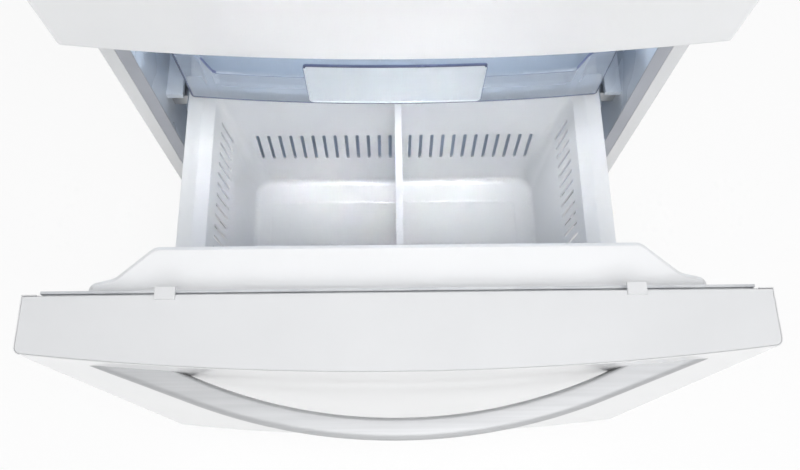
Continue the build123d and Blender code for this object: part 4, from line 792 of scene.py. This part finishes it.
def bow_handles():
    """The drawer's handle leans down as it comes forward; the door's stands upright."""
    level, leaning = Vector((1, 0, 0)), Vector((0, -math.cos(HANDLE_LEAN), -math.sin(HANDLE_LEAN)))
    silver = FINISHES["silver_metal"]
    bow_handle(
        "drawer_handle", "drawer", DRAWER_HANDLE_CREST, DRAWER_HANDLE_PLACE, level, leaning, silver
    )
    upright, ahead = Vector((0, 0, 1)), Vector((0, -1, 0))
    bow_handle(
        "door_handle", "door", DOOR_HANDLE_CREST, DOOR_HANDLE_PLACE, upright, ahead, UPRIGHT_SILVER
    )


# ---- screws ----

# a head's size in millimetres, its profile as (share of the radius, height) pairs, and its cross recess
HEAD_RADIUS, HEAD_HEIGHT, HEAD_STEPS = 4.6, 1.4, 48
HEAD_PROFILE = ((1.0, 0.0), (1.0, 0.45), (0.93, 0.85), (0.78, 1.15), (0.62, 1.35))
RECESS_LONG, RECESS_WIDE, RECESS_DEEP = 2.6, 0.55, 0.8
# places as (x, z): down the back sheet's sides, along its top, round the machine cover, on the hinge
BACK_FACE_Y, HINGE_FACE_Y = 641.4, -99.0
SHEET_SIDE_SCREWS = [(x, z) for x in (-408, 408) for z in (330, 602, 874, 1146, 1418, 1692)]
SHEET_TOP_SCREWS = [(x, 1704) for x in (-200, 0, 200)]
COVER_SCREWS = [(x, z) for x in (-398, -60, 60, 398) for z in (50, 290)]
HINGE_SCREWS = [(362, 733), (362, 749), (378, 733)]


def recess_radius(turn):
    """Distance from a screw's axis to the edge of its cross recess."""
    quarter = math.pi / 2
    off_arm = min(turn % quarter, quarter - turn % quarter)
    reach = RECESS_LONG / math.cos(off_arm)
    if reach * math.sin(off_arm) > RECESS_WIDE:
        reach = RECESS_WIDE / math.sin(off_arm)
    return reach


def screw_head(mesh, centre, outward):
    """Add a pan head with a cross recess that faces along +Y or -Y."""
    turns = [2 * math.pi * step / HEAD_STEPS for step in range(HEAD_STEPS)]
    recess = [recess_radius(turn) for turn in turns]
    profile = [([share * HEAD_RADIUS] * HEAD_STEPS, height) for share, height in HEAD_PROFILE]
    profile += [(recess, HEAD_HEIGHT), (recess, HEAD_HEIGHT - RECESS_DEEP)]
    rows = []
    for reaches, height in profile:
        row = []
        for reach, turn in zip(reaches, turns):
            x, z = reach * math.cos(turn), reach * math.sin(turn)
            row.append((centre[0] + x, centre[1] + outward * height, centre[2] + z))
        rows.append(add_row(mesh, row))
    close_rows(mesh, rows)


def screw_group(name, places, face_y, outward):
    """One piece with a screw head at every place of an upright face."""
    mesh = bmesh.new()
    for x, z in places:
        screw_head(mesh, (x, face_y, z), outward)
    piece = finished(name, mesh, [FINISHES["zinc_steel"]], smooth_angle=30)
    place(piece, "case", "zinc_steel")


def screws():
    """Heads on the back sheet and the machine cover, and on the centre hinge."""
    back = SHEET_SIDE_SCREWS + SHEET_TOP_SCREWS + COVER_SCREWS
    screw_group("back_screws", back, BACK_FACE_Y, 1)
    screw_group("hinge_screws", HINGE_SCREWS, HINGE_FACE_Y, -1)


# ---- painted shade: grey sheets on the freezer mouth's flange ----

# spans of the painted-shade sheet on the right, in millimetres, and the layers of both as (y, inset)
# pairs
SHADE_SHEET_X, SHADE_SHEET_Z = (376.0, 397.0), (92.0, 692.0)
SHADE_SHEET_LAYERS = ((-95.1, 0.0), (-96.2, 0.0), (-96.6, 0.4))


def mouth_shade_sheet():
    """Grey sheets on either side of the freezer's mouth: painted shade where the door above shades the
    liner's flange.
    """
    mesh = bmesh.new()
    for side in (-1, 1):
        rows = []
        for y, inset in SHADE_SHEET_LAYERS:
            near, far = SHADE_SHEET_X[0] + inset, SHADE_SHEET_X[1] - inset
            left, right = sorted((side * near, side * far))
            low, high = SHADE_SHEET_Z[0] + inset, SHADE_SHEET_Z[1] - inset
            corners = ((left, y, low), (right, y, low), (right, y, high), (left, y, high))
            rows.append(add_row(mesh, corners))
        close_rows(mesh, rows)
    place(finished("mouth_shade_sheet", mesh, [SHADE_SHEET_GREY]), "case", "grey_plastic")


# ---- floor, world and lamps, in metres ----

FLOOR_HALF = 12.0
PALE = 0.9
FLOOR_ROUGHNESS, GRAIN_SCALE, GRAIN_DEPTH = 0.9, 90, 0.0004
# the floor's glow fades out over the object's footprint, and leaves this share to the lamps elsewhere,
# so that the shadow stays light
FOOTPRINT_X, FOOTPRINT_Y = (-0.43, 0.43), (-0.56, 0.66)
FOOTPRINT_FADE = 0.06
SHADOW_SHARE = 0.12
WORLD_TONE, WORLD_LEVEL = (0.97, 0.985, 1.0, 1), 0.34
WHITE, COOL = (1.0, 1.0, 1.0), (0.86, 0.93, 1.0)
# lamps as (name, stand, target, size, watts, tint, spread in degrees)
STUDIO_LAMPS = (
    ("overhead", (0.3, -1.6, 3.3), (0.0, -0.3, 0.3), (2.0, 1.8), 60, WHITE, 180),
    ("front", (0.2, -3.6, 1.2), (0.0, -0.5, 0.6), (2.6, 1.6), 18, WHITE, 180),
    ("right", (3.0, -1.2, 1.8), (0.0, 0.0, 0.7), (1.6, 1.6), 16, WHITE, 180),
    ("left", (-3.0, -1.2, 1.8), (0.0, 0.0, 0.7), (1.6, 1.6), 12, WHITE, 180),
)
FREEZER_GLOW = ("freezer_glow", (0.0, 0.3, 0.66), (0.0, -0.05, 0.3), (0.6, 0.2), 4.2, COOL, 180)
# the beams reach the basket and the tray's panel from above, over the open drawer's rim
BEAMS = (
    ("basket_beam", (0.0, -0.95, 3.1), (0.0, -0.10, 0.25), (0.42, 0.12), 0.19, WHITE, 7),
    ("basket_side_beam", (-1.6, -0.7, 2.8), (0.29, -0.17, 0.36), (0.12, 0.12), 0.03, WHITE, 5),
    ("basket_side_beam", (1.6, -0.7, 2.8), (-0.29, -0.17, 0.36), (0.12, 0.12), 0.03, WHITE, 5),
    ("panel_beam", (0.0, -1.6, 2.4), (0.0, -0.09, 0.50), (0.5, 0.05), 0.085, COOL, 3),
)


def worked_out(tree, operation, *values):
    """Output of a maths node; a value is a number or another node's output."""
    node = tree.nodes.new("ShaderNodeMath")
    node.operation = operation
    for socket, value in zip(node.inputs, values):
        if isinstance(value, bpy.types.NodeSocket):
            tree.links.new(value, socket)
        else:
            socket.default_value = value
    return node.outputs[0]


def glow_share(tree):
    """Share of the floor's own glow: most of it in the open, none right under the object."""
    position = tree.nodes.new("ShaderNodeSeparateXYZ")
    tree.links.new(tree.nodes.new("ShaderNodeTexCoord").outputs["Object"], position.inputs[0])
    spans = []
    for axis, (low, high) in (("X", FOOTPRINT_X), ("Y", FOOTPRINT_Y)):
        offset = worked_out(tree, "SUBTRACT", position.outputs[axis], (low + high) / 2)
        fade = tree.nodes.new("ShaderNodeMapRange")
        fade.interpolation_type = "SMOOTHSTEP"
        fade.inputs["From Min"].default_value = (high - low) / 2 - FOOTPRINT_FADE
        fade.inputs["From Max"].default_value = (high - low) / 2
        fade.inputs["To Max"].default_value = 1 - SHADOW_SHARE
        tree.links.new(worked_out(tree, "ABSOLUTE", offset), fade.inputs["Value"])
        spans.append(fade.outputs["Result"])
    return worked_out(tree, "MAXIMUM", *spans)


def floor_material():
    """Pale matt floor that glows where it is seen directly, mirrored or through something clear."""
    material = bpy.data.materials.new("pale_floor")
    material.use_nodes = True
    tree = material.node_tree
    nodes, links = tree.nodes, tree.links
    diffuse = nodes["Principled BSDF"]
    diffuse.inputs["Base Color"].default_value = (PALE, PALE, PALE, 1)
    diffuse.inputs["Roughness"].default_value = FLOOR_ROUGHNESS
    grain = nodes.new("ShaderNodeTexNoise")
    grain.inputs["Scale"].default_value = GRAIN_SCALE
    relief = nodes.new("ShaderNodeBump")
    relief.inputs["Distance"].default_value = GRAIN_DEPTH
    links.new(grain.outputs["Fac"], relief.inputs["Height"])
    links.new(relief.outputs["Normal"], diffuse.inputs["Normal"])
    glow = nodes.new("ShaderNodeEmission")
    glow.inputs["Strength"].default_value = 1.0
    path = nodes.new("ShaderNodeLightPath").outputs
    mirrored = worked_out(tree, "MAXIMUM", path["Is Glossy Ray"], path["Is Transmission Ray"])
    seen = worked_out(tree, "MAXIMUM", path["Is Camera Ray"], mirrored)
    mix = nodes.new("ShaderNodeMixShader")
    links.new(worked_out(tree, "MULTIPLY", seen, glow_share(tree)), mix.inputs["Fac"])
    links.new(diffuse.outputs["BSDF"], mix.inputs[1])
    links.new(glow.outputs["Emission"], mix.inputs[2])
    links.new(mix.outputs["Shader"], nodes["Material Output"].inputs["Surface"])
    return material


def pale_floor():
    """A wide pale floor that the camera sees as white, with a light shadow."""
    mesh = bpy.data.meshes.new("floor")
    corners = [(-1, -1), (1, -1), (1, 1), (-1, 1)]
    mesh.from_pydata([(x * FLOOR_HALF, y * FLOOR_HALF, 0) for x, y in corners], [], [(0, 1, 2, 3)])
    floor = bpy.data.objects.new("floor", mesh)
    bpy.context.scene.collection.objects.link(floor)
    mesh.materials.append(floor_material())


def studio_world():
    """Even studio light, which the camera sees as white."""
    world = bpy.data.worlds.new("studio")
    world.use_nodes = True
    nodes, links = world.node_tree.nodes, world.node_tree.links
    background = nodes["Background"]
    background.inputs["Color"].default_value = WORLD_TONE
    path = nodes.new("ShaderNodeLightPath")
    level = nodes.new("ShaderNodeMapRange")
    level.inputs["To Min"].default_value = WORLD_LEVEL
    level.inputs["To Max"].default_value = 1.0
    links.new(path.outputs["Is Camera Ray"], level.inputs["Value"])
    links.new(level.outputs["Result"], background.inputs["Strength"])
    bpy.context.scene.world = world


def softbox(name, stand, target, size, power, tint, spread):
    """Rectangular lamp aimed at a point, with a grid where its spread is narrow."""
    data = bpy.data.lights.new(name, "AREA")
    data.shape = "RECTANGLE"
    data.size, data.size_y = size
    data.energy = power
    data.color = tint
    data.spread = math.radians(spread)
    lamp = bpy.data.objects.new(name, data)
    lamp.location = stand
    aim = Vector(target) - Vector(stand)
    lamp.rotation_euler = aim.to_track_quat("-Z", "Y").to_euler()
    bpy.context.scene.collection.objects.link(lamp)
    return lamp


def add_lamps():
    """Four large studio lamps, the pale glow that fills the freezer, and four narrow beams."""
    for lamp in STUDIO_LAMPS:
        softbox(*lamp)
    glow = softbox(*FREEZER_GLOW)
    glow.visible_transmission = glow.visible_glossy = False
    for lamp in BEAMS:
        softbox(*lamp)


add_camera()
dress_nodes()
freezer_basket()
tray_shell()
tray_panel()
rounded_liner()
bow_handles()
screws()
mouth_shade_sheet()
pale_floor()
studio_world()
add_lamps()

bpy.context.scene.view_settings.view_transform = "Standard"
